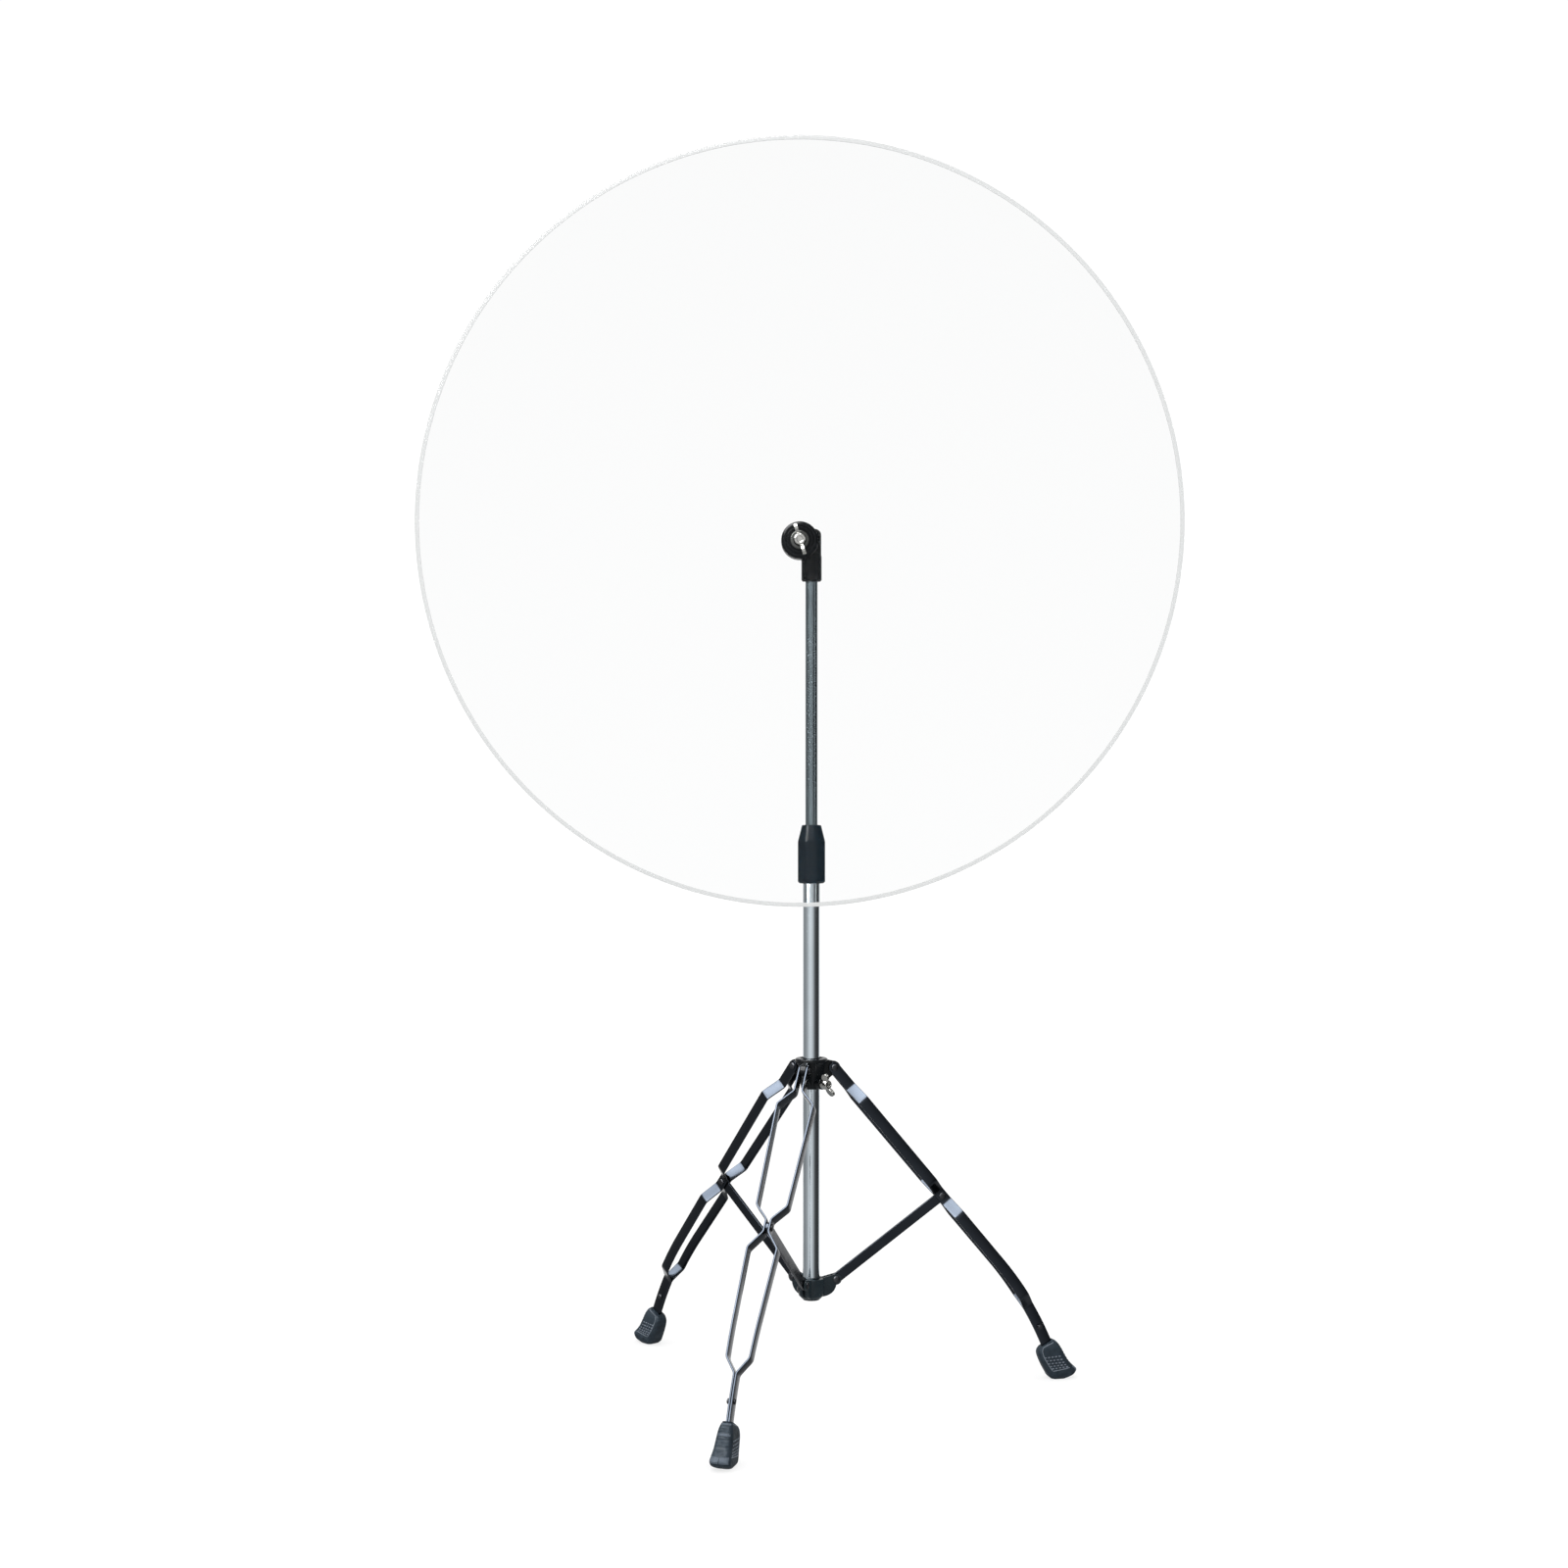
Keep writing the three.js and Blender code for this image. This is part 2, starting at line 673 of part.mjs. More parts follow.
function legStrap(side) {
  const half = strapWidth / 2;
  const sections = [];
  for (let step = 1; step <= strapRoundSteps; step += 1) {
    const turn = (step / (strapRoundSteps + 1)) * (Math.PI / 2);
    sections.push(strapSection(-half * Math.cos(turn), half * Math.sin(turn), side));
  }
  sections.push(strapSection(0, half, side));
  for (const along of strapStations()) sections.push(strapSection(along, half, side));
  const holeReach = hubPinchOffset + strapWidth;
  const screw = legLine(footScrewAlong);
  return cut(
    lofted(sections),
    pivotHole(legPivotRadius, legPivotHeight, pivotRadius + gap, holeReach),
    pivotHole(midPivotRadius, midPivotHeight, pivotRadius + gap, holeReach),
    pivotHole(screw.radius, screw.height, footScrewDiameter / 2 + gap, holeReach),
  );
}

// Domed rivet head on a stub, from z = 0 outwards
function rivetProfile(seat, stubStart) {
  const head = rivetHeadDiameter / 2;
  const dome = seat + rivetHeadHeight;
  const profile = [[0, stubStart], [pivotRadius, stubStart], [pivotRadius, seat], [head, seat]];
  profile.push([head, seat + edgeBreak], [pivotRadius, dome], [0, dome]);
  return profile;
}

// Rivet with a head at both ends
function throughRivet(halfGrip) {
  const seat = halfGrip + gap;
  const dome = seat + rivetHeadHeight;
  const head = rivetHeadDiameter / 2;
  const profile = [[0, -dome], [pivotRadius, -dome], [head, -seat - edgeBreak], [head, -seat]];
  profile.push([pivotRadius, -seat], [pivotRadius, seat], [head, seat], [head, seat + edgeBreak]);
  profile.push([pivotRadius, dome], [0, dome]);
  return turned(profile, pinFacets);
}

function hubPivotRivet() {
  const grip = hubPinchOffset + strapThickness / 2;
  return alongPivot(throughRivet(grip), legPivotRadius, legPivotHeight);
}

// The two heads of the middle pivot, which stop short of the strut between the straps
function midPivotHead(side) {
  const inner = midPinchOffset - strapThickness / 2 + gap;
  const seat = midPinchOffset + strapThickness / 2 + gap;
  const head = turned(rivetProfile(seat, inner), pinFacets);
  if (side < 0) head.rotateX(Math.PI);
  return alongPivot(head, midPivotRadius, midPivotHeight);
}

function strutPivotRivet() {
  return alongPivot(throughRivet(lowerHubArmThickness / 2), strutPivotRadius, strutPivotHeight);
}

function footScrew() {
  const seat = footPinchOffset + strapThickness / 2 + gap;
  const shank = footScrewDiameter / 2;
  const head = footScrewHeadDiameter / 2;
  const dome = seat + footScrewHeadHeight;
  const nutEnd = seat + footNutThickness + edgeBreak;
  const profile = [[0, -nutEnd], [shank, -nutEnd], [shank, seat], [head, seat]];
  profile.push([head, seat + edgeBreak], [shank, dome], [0, dome]);
  const nut = flatted(footNutWidth, hexSides, -seat - footNutThickness, -seat);
  const { radius, height } = legLine(footScrewAlong);
  return alongPivot(join(turned(profile, pinFacets), nut), radius, height);
}

function strut() {
  const half = strutWidth / 2;
  const outline = new THREE.Shape();
  outline.absarc(strutLength, 0, half, -Math.PI / 2, Math.PI / 2, false);
  outline.absarc(0, 0, half, Math.PI / 2, (3 * Math.PI) / 2, false);
  outline.closePath();
  const body = plate(outline, strutThickness);
  body.rotateY(-strutSlope);
  body.translate(strutPivotRadius, 0, strutPivotHeight);
  const holes = [[strutPivotRadius, strutPivotHeight], [midPivotRadius, midPivotHeight]];
  return cut(body, ...holes.map(([x, z]) => pivotHole(x, z, pivotRadius + gap, strutThickness)));
}

// Rounded rectangle across a boot, from its inner to its outer edge
function bootSection({ inner, innerHeight, outer, outerHeight, width }) {
  const start = new THREE.Vector3(bootFootRadius + inner, 0, innerHeight);
  const end = new THREE.Vector3(bootFootRadius + outer, 0, outerHeight);
  const middle = start.clone().add(end).divideScalar(2);
  const outwards = end.clone().sub(start).normalize();
  const halfDepth = start.distanceTo(end) / 2;
  const halfWidth = width / 2;
  const corner = bootCornerShare * Math.min(halfDepth, halfWidth);
  const points = [];
  for (let quarter = 0; quarter < 4; quarter += 1) {
    const signA = quarter === 0 || quarter === 3 ? 1 : -1;
    const signB = quarter < 2 ? 1 : -1;
    for (let step = 0; step <= bootCornerSteps; step += 1) {
      const turn = (quarter + step / bootCornerSteps) * (Math.PI / 2);
      const a = signA * (halfDepth - corner) + corner * Math.cos(turn);
      const b = signB * (halfWidth - corner) + corner * Math.sin(turn);
      const point = middle.clone().addScaledVector(outwards, a);
      point.y += b;
      points.push(point);
    }
  }
  return points;
}

function boot() {
  const { radius, height, slope } = legLine(bootStart);
  const socketLength = strapTail + gap;
  const socket = block(
    2 * socketLength,
    2 * footPinchOffset + strapThickness + 2 * bootSocketGap,
    strapWidth + 2 * bootSocketGap,
  );
  socket.rotateY(slope);
  socket.translate(radius, 0, height);
  return cut(lofted(bootSections.map(bootSection)), socket);
}

// Wing bolt along Z: its seat is at z = 0 and its wings are above
function wingBolt(shankRadius, shankLength, scaleShare, turn) {
  const hub = (wingHubDiameter / 2) * scaleShare;
  const tip = (wingHubTipDiameter / 2) * scaleShare;
  const length = wingHubLength * scaleShare;
  const half = (wingSpan / 2) * scaleShare;
  const reach = wingReach * scaleShare;
  const recess = (wingHubRecessDiameter / 2) * scaleShare;
  const profile = [[0, -shankLength], [shankRadius, -shankLength], [shankRadius, 0], [hub, 0]];
  profile.push([hub, length / 2], [tip, length - edgeBreak], [tip - edgeBreak, length]);
  profile.push([recess, length], [recess, length - edgeBreak], [0, length - edgeBreak]);
  const body = turned(profile, wingFacets);
  const ear = half - hub;
  const outline = new THREE.Shape();
  outline.moveTo(0, length / 4);
  outline.lineTo(hub + ear * wingRootShare, length / 4);
  outline.quadraticCurveTo(half, length / 2, half, length / 2 + reach / 2);
  outline.quadraticCurveTo(half, length / 2 + reach, half - ear / 2, length / 2 + reach);
  outline.quadraticCurveTo(hub + ear * wingCrestShare, length / 2 + reach, tip, length - edgeBreak);
  outline.lineTo(0, length - edgeBreak);
  outline.closePath();
  const thickness = wingThickness * scaleShare;
  const wing = plate(outline, thickness);
  const other = wing.clone().rotateZ(Math.PI);
  const whole = join(body, wing, other);
  return whole.rotateZ(turn * radians);
}

// Swivel clutch, about the bolt

const neckRadius = neckDiameter / 2;
const clutchRadius = clutchDiameter / 2;
const boltHoleRadius = clampBoltRadius + gap;

// Disc about the bolt between two depths in front of the mast axis, with rounded rims
function clutchDisc(radius, backDepth, frontDepth, rim, facets) {
  return facingFront(roundedBar(radius, backDepth, frontDepth, rim, facets));
}

// The post's socket is beside the head, so that the bolt clears the tube
function clutchBody() {
  const neckTop = boltHeight + neckTopAboveBolt;
  const shoulder = neckTop - neckTopRadius;
  const profile = [[0, neckBottom], [neckRadius - neckEdgeRadius, neckBottom]];
  profile.push([neckRadius, neckBottom + neckEdgeRadius], [neckRadius, shoulder]);
  profile.push([neckRadius - neckTopRadius * (1 - Math.SQRT1_2), shoulder + neckTopRadius * Math.SQRT1_2]);
  profile.push([neckRadius - neckTopRadius, neckTop], [0, neckTop]);
  const neck = turned(profile, knobFacets);
  const disc = clutchDisc(clutchRadius, clutchBackDepth, rearDiscFrontDepth, clutchEdgeRadius, tubeFacets);
  const socket = bar(upperTubeRadius + gap, neckBottom - overrun, neckBottom + neckSocketDepth, tubeFacets);
  const hole = facingFront(bar(boltHoleRadius, -neckDiameter, clutchDiameter, pinFacets));
  const pocketStart = clutchBackDepth - overrun;
  const pocketEnd = clutchBackDepth + clampNutPocketDepth;
  const pocket = facingFront(flatted(clampNutWidth + 2 * gap, hexSides, pocketStart, pocketEnd));
  return cut(join(neck, disc), socket, hole, pocket);
}

function clutchNut() {
  const front = clutchBackDepth + clampNutPocketDepth - gap;
  const nut = flatted(clampNutWidth, hexSides, front - clampNutThickness, front);
  return facingFront(cut(nut, bar(boltHoleRadius, -neckDiameter, clutchDiameter, pinFacets)));
}

function pad(backDepth) {
  return facingFront(ring(boltHoleRadius, padDiameter / 2, backDepth, backDepth + padThickness, tubeFacets));
}

function clutchCap() {
  const rim = clutchEdgeRadius;
  const groove = capFrontDepth - clutchGrooveDepth;
  const grooveOut = washerDiameter / 2 + 2 * clutchGrooveWidth;
  const profile = [[boltHoleRadius, capBackDepth], [clutchRadius - edgeBreak, capBackDepth]];
  profile.push([clutchRadius, capBackDepth + edgeBreak], [clutchRadius, capFrontDepth - rim]);
  profile.push([clutchRadius - rim, capFrontDepth], [grooveOut, capFrontDepth], [grooveOut, groove]);
  profile.push([grooveOut - clutchGrooveWidth, groove], [grooveOut - clutchGrooveWidth, capFrontDepth]);
  profile.push([boltHoleRadius, capFrontDepth]);
  return facingFront(turned(profile, tubeFacets));
}

function clutchWasher() {
  const top = washerBackDepth + washerThickness;
  return facingFront(ring(boltHoleRadius, washerDiameter / 2, washerBackDepth, top, knobFacets));
}

function clutchWingBolt() {
  const shankLength = wingBoltSeatDepth - clutchBackDepth;
  const bolt = wingBolt(clampBoltRadius, shankLength, 1, wingLean);
  bolt.translate(0, 0, wingBoltSeatDepth);
  return facingFront(bolt);
}

const hubWingShankRadius = clampBoltRadius;

function hubWingBolt() {
  const seat = legHubBossReach + gap;
  const bolt = wingBolt(hubWingShankRadius, seat - baseTubeRadius - gap, smallWingScaleShare, hubWingTilt);
  bolt.translate(0, 0, seat);
  return outwardsAtBoss(bolt);
}

function shieldPanel() {
  const rim = shieldEdgeBevel;
  const panel = roundedBar(shieldDiameter / 2, shieldBackDepth, shieldFrontDepth, rim, shieldFacets);
  panel.rotateX(Math.PI / 2);
  panel.translate(-shieldSideOffset, 0, shieldCentreHeight);
  return cut(panel, facingFront(bar(shieldHoleDiameter / 2, 0, clutchDiameter, knobFacets)));
}

// Assembly

add(assembly, "shield_panel", shieldPanel(), colours.acrylic);
add(assembly, "clutch_body", clutchBody(), colours.casting);
add(assembly, "clutch_rear_pad", pad(rearPadBackDepth), colours.rubber);
add(assembly, "clutch_front_pad", pad(frontPadBackDepth), colours.rubber);
add(assembly, "clutch_cap", clutchCap(), colours.casting);
add(assembly, "clutch_washer", clutchWasher(), colours.chrome);
add(assembly, "clutch_wing_bolt", clutchWingBolt(), colours.chrome);
add(assembly, "clutch_hex_nut", clutchNut(), colours.chrome);
add(assembly, "upper_tube", upperTube(), colours.nickel);
add(assembly, "height_clamp_nut", clampNut(), colours.nylon);
add(assembly, "height_clamp_collar", threadedCollar(), colours.nylon);
add(assembly, "height_clamp_collet", collet(), colours.nylon);
add(assembly, "base_tube", baseTube(), colours.chrome);
add(assembly, "base_tube_plug", tubePlug(), colours.nylon);
add(assembly, "leg_hub", legHub(), colours.casting);
add(assembly, "leg_hub_wing_bolt", hubWingBolt(), colours.chrome);
add(assembly, "lower_hub", lowerHub(), colours.casting);
add(assembly, "lower_hub_pin", lowerHubPin(), colours.nickel);

for (const [side, angle] of Object.entries(legAngles)) {
  const leg = new THREE.Group();
  leg.rotation.z = angle * radians;
  assembly.add(leg);
  add(leg, `${side}_leg_strap_left`, legStrap(1), colours.blackNickel);
  add(leg, `${side}_leg_strap_right`, legStrap(-1), colours.blackNickel);
  add(leg, `${side}_leg_hub_rivet`, hubPivotRivet(), colours.nickel);
  add(leg, `${side}_leg_mid_rivet_left`, midPivotHead(1), colours.nickel);
  add(leg, `${side}_leg_mid_rivet_right`, midPivotHead(-1), colours.nickel);
  add(leg, `${side}_leg_foot_screw`, footScrew(), colours.nickel);
  add(leg, `${side}_leg_boot`, boot(), colours.rubber);
  add(leg, `${side}_strut`, strut(), colours.blackNickel);
  add(leg, `${side}_strut_rivet`, strutPivotRivet(), colours.nickel);
}

assembly.updateMatrixWorld(true);
const box = new THREE.Box3().setFromObject(assembly, true);
const centre = box.getCenter(new THREE.Vector3());
const group = new THREE.Group();
group.add(assembly);
assembly.position.set(-centre.x, -centre.y, 0);

export default group;
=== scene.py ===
import json
import math

import bmesh
import bpy
from mathutils import Matrix, Vector

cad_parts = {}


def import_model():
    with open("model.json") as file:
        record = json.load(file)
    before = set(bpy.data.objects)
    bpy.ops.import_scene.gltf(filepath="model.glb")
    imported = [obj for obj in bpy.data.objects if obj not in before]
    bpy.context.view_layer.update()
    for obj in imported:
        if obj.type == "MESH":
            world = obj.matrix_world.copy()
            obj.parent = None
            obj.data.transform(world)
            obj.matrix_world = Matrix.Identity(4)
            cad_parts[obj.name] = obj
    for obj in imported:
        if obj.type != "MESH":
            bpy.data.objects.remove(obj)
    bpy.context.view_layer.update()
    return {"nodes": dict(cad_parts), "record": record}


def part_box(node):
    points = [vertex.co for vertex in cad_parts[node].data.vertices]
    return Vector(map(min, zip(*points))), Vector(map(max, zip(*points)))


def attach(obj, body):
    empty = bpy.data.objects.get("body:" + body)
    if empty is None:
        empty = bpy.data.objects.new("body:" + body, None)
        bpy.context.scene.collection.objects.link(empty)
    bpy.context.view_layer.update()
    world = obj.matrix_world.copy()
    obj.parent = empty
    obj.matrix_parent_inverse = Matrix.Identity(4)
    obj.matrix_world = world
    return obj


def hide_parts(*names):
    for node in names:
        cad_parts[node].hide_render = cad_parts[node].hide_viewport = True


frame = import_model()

# Round clear drum shield on a folding tripod stand: the looks.
# Shapes are worked out in millimetres about the mast axis and written to the meshes in metres.

MM = 0.001
low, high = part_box("base_tube")
AXIS_X = (low.x + high.x) / 2
AXIS_Y = (low.y + high.y) / 2
TO_FRAME = Matrix.Translation((AXIS_X, AXIS_Y, 0))

LEG_ANGLES = {"right": 11.85, "rear": 131.85, "front": 251.85}

# Sizes shared with the solids
SHIELD_RADIUS = 500
SHIELD_CENTRE = (-15.6, 1143)
SHIELD_BACK = 22.95
SHIELD_THICKNESS = 5
BOLT_HEIGHT = 1120
BOLT_SIDE = -15.6
LEG_PIVOT = (30, 428.8)
MID_PIVOT = (177.8, 252.7)
STRUT_PIVOT = (33, 148)
KNEE_START = 349
KNEE_LENGTH = 134
KNEE_TURN = math.radians(17)
BOOT_START = KNEE_START + KNEE_LENGTH
STRAP_END = BOOT_START + 34
FOOT_SCREW = 458
STRAP_WIDTH = 15
STRAP_THICKNESS = 2.5
STRUT_WIDTH = 13.5
STRUT_THICKNESS = 3.4
TUBE_HOLE = 8.25
HUB_BORE = 11.4
BOLT_HOLE = 3.4


# ---- materials

def material(name, colour, roughness, metallic=0.0):
    """A new node material and its shader."""
    made = bpy.data.materials.new(name)
    made.use_nodes = True
    made.diffuse_color = (*colour, 1)
    shader = made.node_tree.nodes["Principled BSDF"]
    shader.inputs["Base Color"].default_value = (*colour, 1)
    shader.inputs["Roughness"].default_value = roughness
    shader.inputs["Metallic"].default_value = metallic
    return made, shader


def object_noise(made, scale, detail=2.0, stretch=(1, 1, 1)):
    """Noise in the piece's own coordinates, stretched along an axis where the finish has a grain."""
    nodes, links = made.node_tree.nodes, made.node_tree.links
    place = nodes.new("ShaderNodeTexCoord")
    mapping = nodes.new("ShaderNodeMapping")
    mapping.inputs["Scale"].default_value = stretch
    noise = nodes.new("ShaderNodeTexNoise")
    noise.inputs["Scale"].default_value = scale
    noise.inputs["Detail"].default_value = detail
    links.new(place.outputs["Object"], mapping.inputs["Vector"])
    links.new(mapping.outputs["Vector"], noise.inputs["Vector"])
    return noise


def vary(made, shader, noise, socket, first, last, low=0.3, high=0.7):
    """Drives a socket from the noise, between two numbers or two colours."""
    nodes, links = made.node_tree.nodes, made.node_tree.links
    if isinstance(first, tuple):
        ramp = nodes.new("ShaderNodeValToRGB")
        ramp.color_ramp.elements[0].position = low
        ramp.color_ramp.elements[0].color = (*first, 1)
        ramp.color_ramp.elements[1].position = high
        ramp.color_ramp.elements[1].color = (*last, 1)
        links.new(noise.outputs["Fac"], ramp.inputs["Fac"])
        links.new(ramp.outputs["Color"], shader.inputs[socket])
        return
    span = nodes.new("ShaderNodeMapRange")
    span.inputs["From Min"].default_value = low
    span.inputs["From Max"].default_value = high
    span.inputs["To Min"].default_value = first
    span.inputs["To Max"].default_value = last
    links.new(noise.outputs["Fac"], span.inputs["Value"])
    links.new(span.outputs["Result"], shader.inputs[socket])


def bump(made, shader, noise, strength, distance):
    """Raises the shading by a noise."""
    nodes, links = made.node_tree.nodes, made.node_tree.links
    node = nodes.new("ShaderNodeBump")
    node.inputs["Strength"].default_value = strength
    node.inputs["Distance"].default_value = distance
    links.new(noise.outputs["Fac"], node.inputs["Height"])
    links.new(node.outputs["Normal"], shader.inputs["Normal"])


def acrylic_face():
    """Clear polished sheet."""
    made, shader = material("clear_acrylic_face", (0.892, 0.895, 0.895), 0.015)
    shader.inputs["Transmission Weight"].default_value = 1.0
    shader.inputs["IOR"].default_value = 1.49
    shader.inputs["Specular Tint"].default_value = (0.1, 0.1, 0.1, 1)
    vary(made, shader, object_noise(made, 6.0), "Roughness", 0.01, 0.03)
    return made


def acrylic_edge():
    """Frosted, pale rim of the sheet."""
    made, shader = material("clear_acrylic_edge", (0.735, 0.745, 0.745), 0.2)
    shader.inputs["Transmission Weight"].default_value = 0.2
    shader.inputs["Specular Tint"].default_value = (0.3, 0.3, 0.3, 1)
    shader.inputs["IOR"].default_value = 1.49
    vary(made, shader, object_noise(made, 30.0), "Roughness", 0.18, 0.3)
    return made


def moulded_plastic(name, colour, lighter, rough, depth=0.00004, level=0.14):
    """Dark plastic with a fine grain of the given depth in metres."""
    made, shader = material(name, colour, rough)
    shader.inputs["Specular IOR Level"].default_value = level
    vary(made, shader, object_noise(made, 38.0, 4.0), "Base Color", colour, lighter)
    vary(made, shader, object_noise(made, 90.0, 3.0), "Roughness", rough - 0.06, rough + 0.1)
    bump(made, shader, object_noise(made, 2600.0, 2.0), 0.35, depth)
    return made


def plated(name, colour, darker, rough, spread, stretch=(1, 1, 1), scale=60.0, wave=0.0):
    """Plated metal: slight colour drift, streaked roughness and the faint waviness of formed steel."""
    made, shader = material(name, colour, rough, 1.0)
    vary(made, shader, object_noise(made, 14.0, 3.0), "Base Color", darker, colour)
    streaks = object_noise(made, scale, 4.0, stretch)
    vary(made, shader, streaks, "Roughness", rough, rough + spread)
    if wave:
        bump(made, shader, object_noise(made, 55.0, 1.0, stretch), 0.5, wave)
    return made


def rubber(name, colour, lighter):
    """Matt rubber."""
    made, shader = material(name, colour, 0.7)
    shader.inputs["Specular IOR Level"].default_value = 0.2
    vary(made, shader, object_noise(made, 120.0, 5.0), "Base Color", colour, lighter)
    vary(made, shader, object_noise(made, 220.0, 3.0), "Roughness", 0.5, 0.75)
    bump(made, shader, object_noise(made, 1800.0, 3.0), 0.5, 0.00008)
    return made


LOOKS = {
    "acrylic_face": acrylic_face(),
    "acrylic_edge": acrylic_edge(),
    "black_plastic": moulded_plastic("black_plastic", (0.0035, 0.0045, 0.0055), (0.007, 0.0085, 0.01), 0.24),
    "nut_plastic": moulded_plastic("nut_plastic", (0.002, 0.008, 0.0135), (0.004, 0.012, 0.02), 0.15,
                                   depth=0.00001, level=0.22),
    "spider_plastic": moulded_plastic("spider_plastic", (0.01, 0.016, 0.02), (0.017, 0.025, 0.03), 0.26),
    "pad_rubber": rubber("pad_rubber", (0.012, 0.012, 0.013), (0.02, 0.02, 0.022)),
    # Much lighter rubber for the boots' raised dashes: a painted highlight on their tops.
    "boot_marks_painted_highlight": rubber("boot_marks_painted_highlight", (0.1, 0.118, 0.145), (0.155, 0.178, 0.21)),
    # Lighter rubber for the boots' smooth pads: a painted highlight where they face up and front.
    "boot_bands_painted_highlight": rubber("boot_bands_painted_highlight", (0.055, 0.07, 0.09), (0.09, 0.11, 0.135)),
    "boot_rubber": rubber("boot_rubber", (0.006, 0.0115, 0.0175), (0.014, 0.0225, 0.0315)),
    "chrome": plated("chrome", (0.5, 0.5, 0.485), (0.38, 0.38, 0.36), 0.12, 0.14, wave=0.0001),
    "dull_chrome": plated("dull_chrome", (0.1, 0.104, 0.1), (0.06, 0.063, 0.06), 0.22, 0.16),
    "zinc_steel": plated("zinc_steel", (0.07, 0.073, 0.08), (0.045, 0.047, 0.052), 0.28, 0.18),
    "nickel_tube": plated("nickel_tube", (0.228, 0.282, 0.306), (0.178, 0.219, 0.242), 0.07, 0.08,
                          (1, 1, 0.04)),
    "chrome_tube": plated("chrome_tube", (0.58, 0.645, 0.69), (0.51, 0.57, 0.61), 0.07, 0.08, (1, 1, 0.03)),
    "black_nickel": plated("black_nickel", (0.0355, 0.0415, 0.051), (0.0245, 0.029, 0.0365), 0.16, 0.12,
                           wave=0.00003),
}

SLOT_LOOKS = {
    "clear_acrylic": "acrylic_face",
    "black_plastic": "black_plastic",
    "pad_rubber": "pad_rubber",
    "chrome": "chrome",
    "zinc_steel": "zinc_steel",
    "nickel_tube": "nickel_tube",
    "chrome_tube": "chrome_tube",
    "black_nickel": "black_nickel",
    "boot_rubber": "boot_rubber",
}


# ---- mesh helpers

def piece(name, verts, faces, look, body, nodes, bevel=0.0, segments=2, angle=34, place=None):
    """A mesh from points in millimetres that replaces CAD nodes and rides on a body."""
    matrix = TO_FRAME @ place if place else TO_FRAME
    scale = Matrix.Scale(MM, 4)
    points = []
    for vert in verts:
        point = scale @ Vector(vert)
        points.append(matrix @ point)
    mesh = bpy.data.meshes.new(name)
    mesh.from_pydata(points, [], faces)
    mesh.validate()
    tidy_normals(mesh)
    for poly in mesh.polygons:
        poly.use_smooth = True
    mesh.set_sharp_from_angle(angle=math.radians(angle))
    mesh.materials.append(LOOKS[look])
    obj = bpy.data.objects.new(name, mesh)
    bpy.context.scene.collection.objects.link(obj)
    if bevel:
        rim = obj.modifiers.new("edge", "BEVEL")
        rim.width = bevel * MM
        rim.segments = segments
        rim.limit_method = "ANGLE"
        rim.angle_limit = math.radians(angle)
        rim.harden_normals = True
    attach(obj, body)
    if nodes:
        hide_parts(*nodes)
    return obj


def tidy_normals(mesh):
    """Joins doubled points and turns all faces outwards."""
    work = bmesh.new()
    work.from_mesh(mesh)
    bmesh.ops.remove_doubles(work, verts=work.verts, dist=1e-7)
    bmesh.ops.recalc_face_normals(work, faces=work.faces)
    work.to_mesh(mesh)
    work.free()


def merged(*parts):
    """Several (verts, faces) pairs as one."""
    verts, faces = [], []
    for part_verts, part_faces in parts:
        base = len(verts)
        verts.extend(part_verts)
        faces.extend(tuple(base + i for i in face) for face in part_faces)
    return verts, faces


def moved(part, matrix):
    """A (verts, faces) pair after a matrix."""
    verts, faces = part
    return [tuple(matrix @ Vector(v)) for v in verts], faces


def filleted(profile, steps=4):
    """Rounds the corners of a closed profile. Each point is (radius, height) or (radius, height, fillet)."""
    out = []
    count = len(profile)
    for i, item in enumerate(profile):
        here = Vector(item[:2])
        fillet = item[2] if len(item) > 2 else 0
        if not fillet:
            out.append(tuple(here))
            continue
        before = Vector(profile[i - 1][:2])
        after = Vector(profile[(i + 1) % count][:2])
        to_before = (before - here).normalized()
        to_after = (after - here).normalized()
        half = to_before.angle(to_after) / 2
        reach = fillet / math.tan(half)
        middle = here + (to_before + to_after).normalized() * (fillet / math.sin(half))
        start = here + to_before * reach - middle
        end = here + to_after * reach - middle
        for step in range(steps + 1):
            share = step / steps
            spoke = start.slerp(end, share).normalized() * fillet
            out.append(tuple(middle + spoke))
    return out


def lathe(profile, count=64):
    """Turned surface about Z from a closed profile."""
    verts, faces, rings = [], [], []
    for radius, height in profile:
        if radius < 1e-6:
            rings.append([len(verts)])
            verts.append((0, 0, height))
            continue
        rings.append(list(range(len(verts), len(verts) + count)))
        for i in range(count):
            turn = 2 * math.pi * i / count
            verts.append((radius * math.cos(turn), radius * math.sin(turn), height))
    for i, ring in enumerate(rings):
        other = rings[(i + 1) % len(rings)]
        if len(ring) == 1 and len(other) == 1:
            continue
        for k in range(count):
            n = (k + 1) % count
            if len(ring) == 1:
                faces.append((ring[0], other[k], other[n]))
            elif len(other) == 1:
                faces.append((ring[k], ring[n], other[0]))
            else:
                faces.append((ring[k], ring[n], other[n], other[k]))
    return verts, faces


def loft(sections):
    """Closed skin over rings of equal point count."""
    count = len(sections[0])
    verts = [tuple(p) for ring in sections for p in ring]
    faces = []
    for row in range(len(sections) - 1):
        for k in range(count):
            a = row * count + k
            b = row * count + (k + 1) % count
            faces.append((a, b, b + count, a + count))
    faces.append(tuple(range(count - 1, -1, -1)))
    last = (len(sections) - 1) * count
    faces.append(tuple(range(last, last + count)))
    return verts, faces


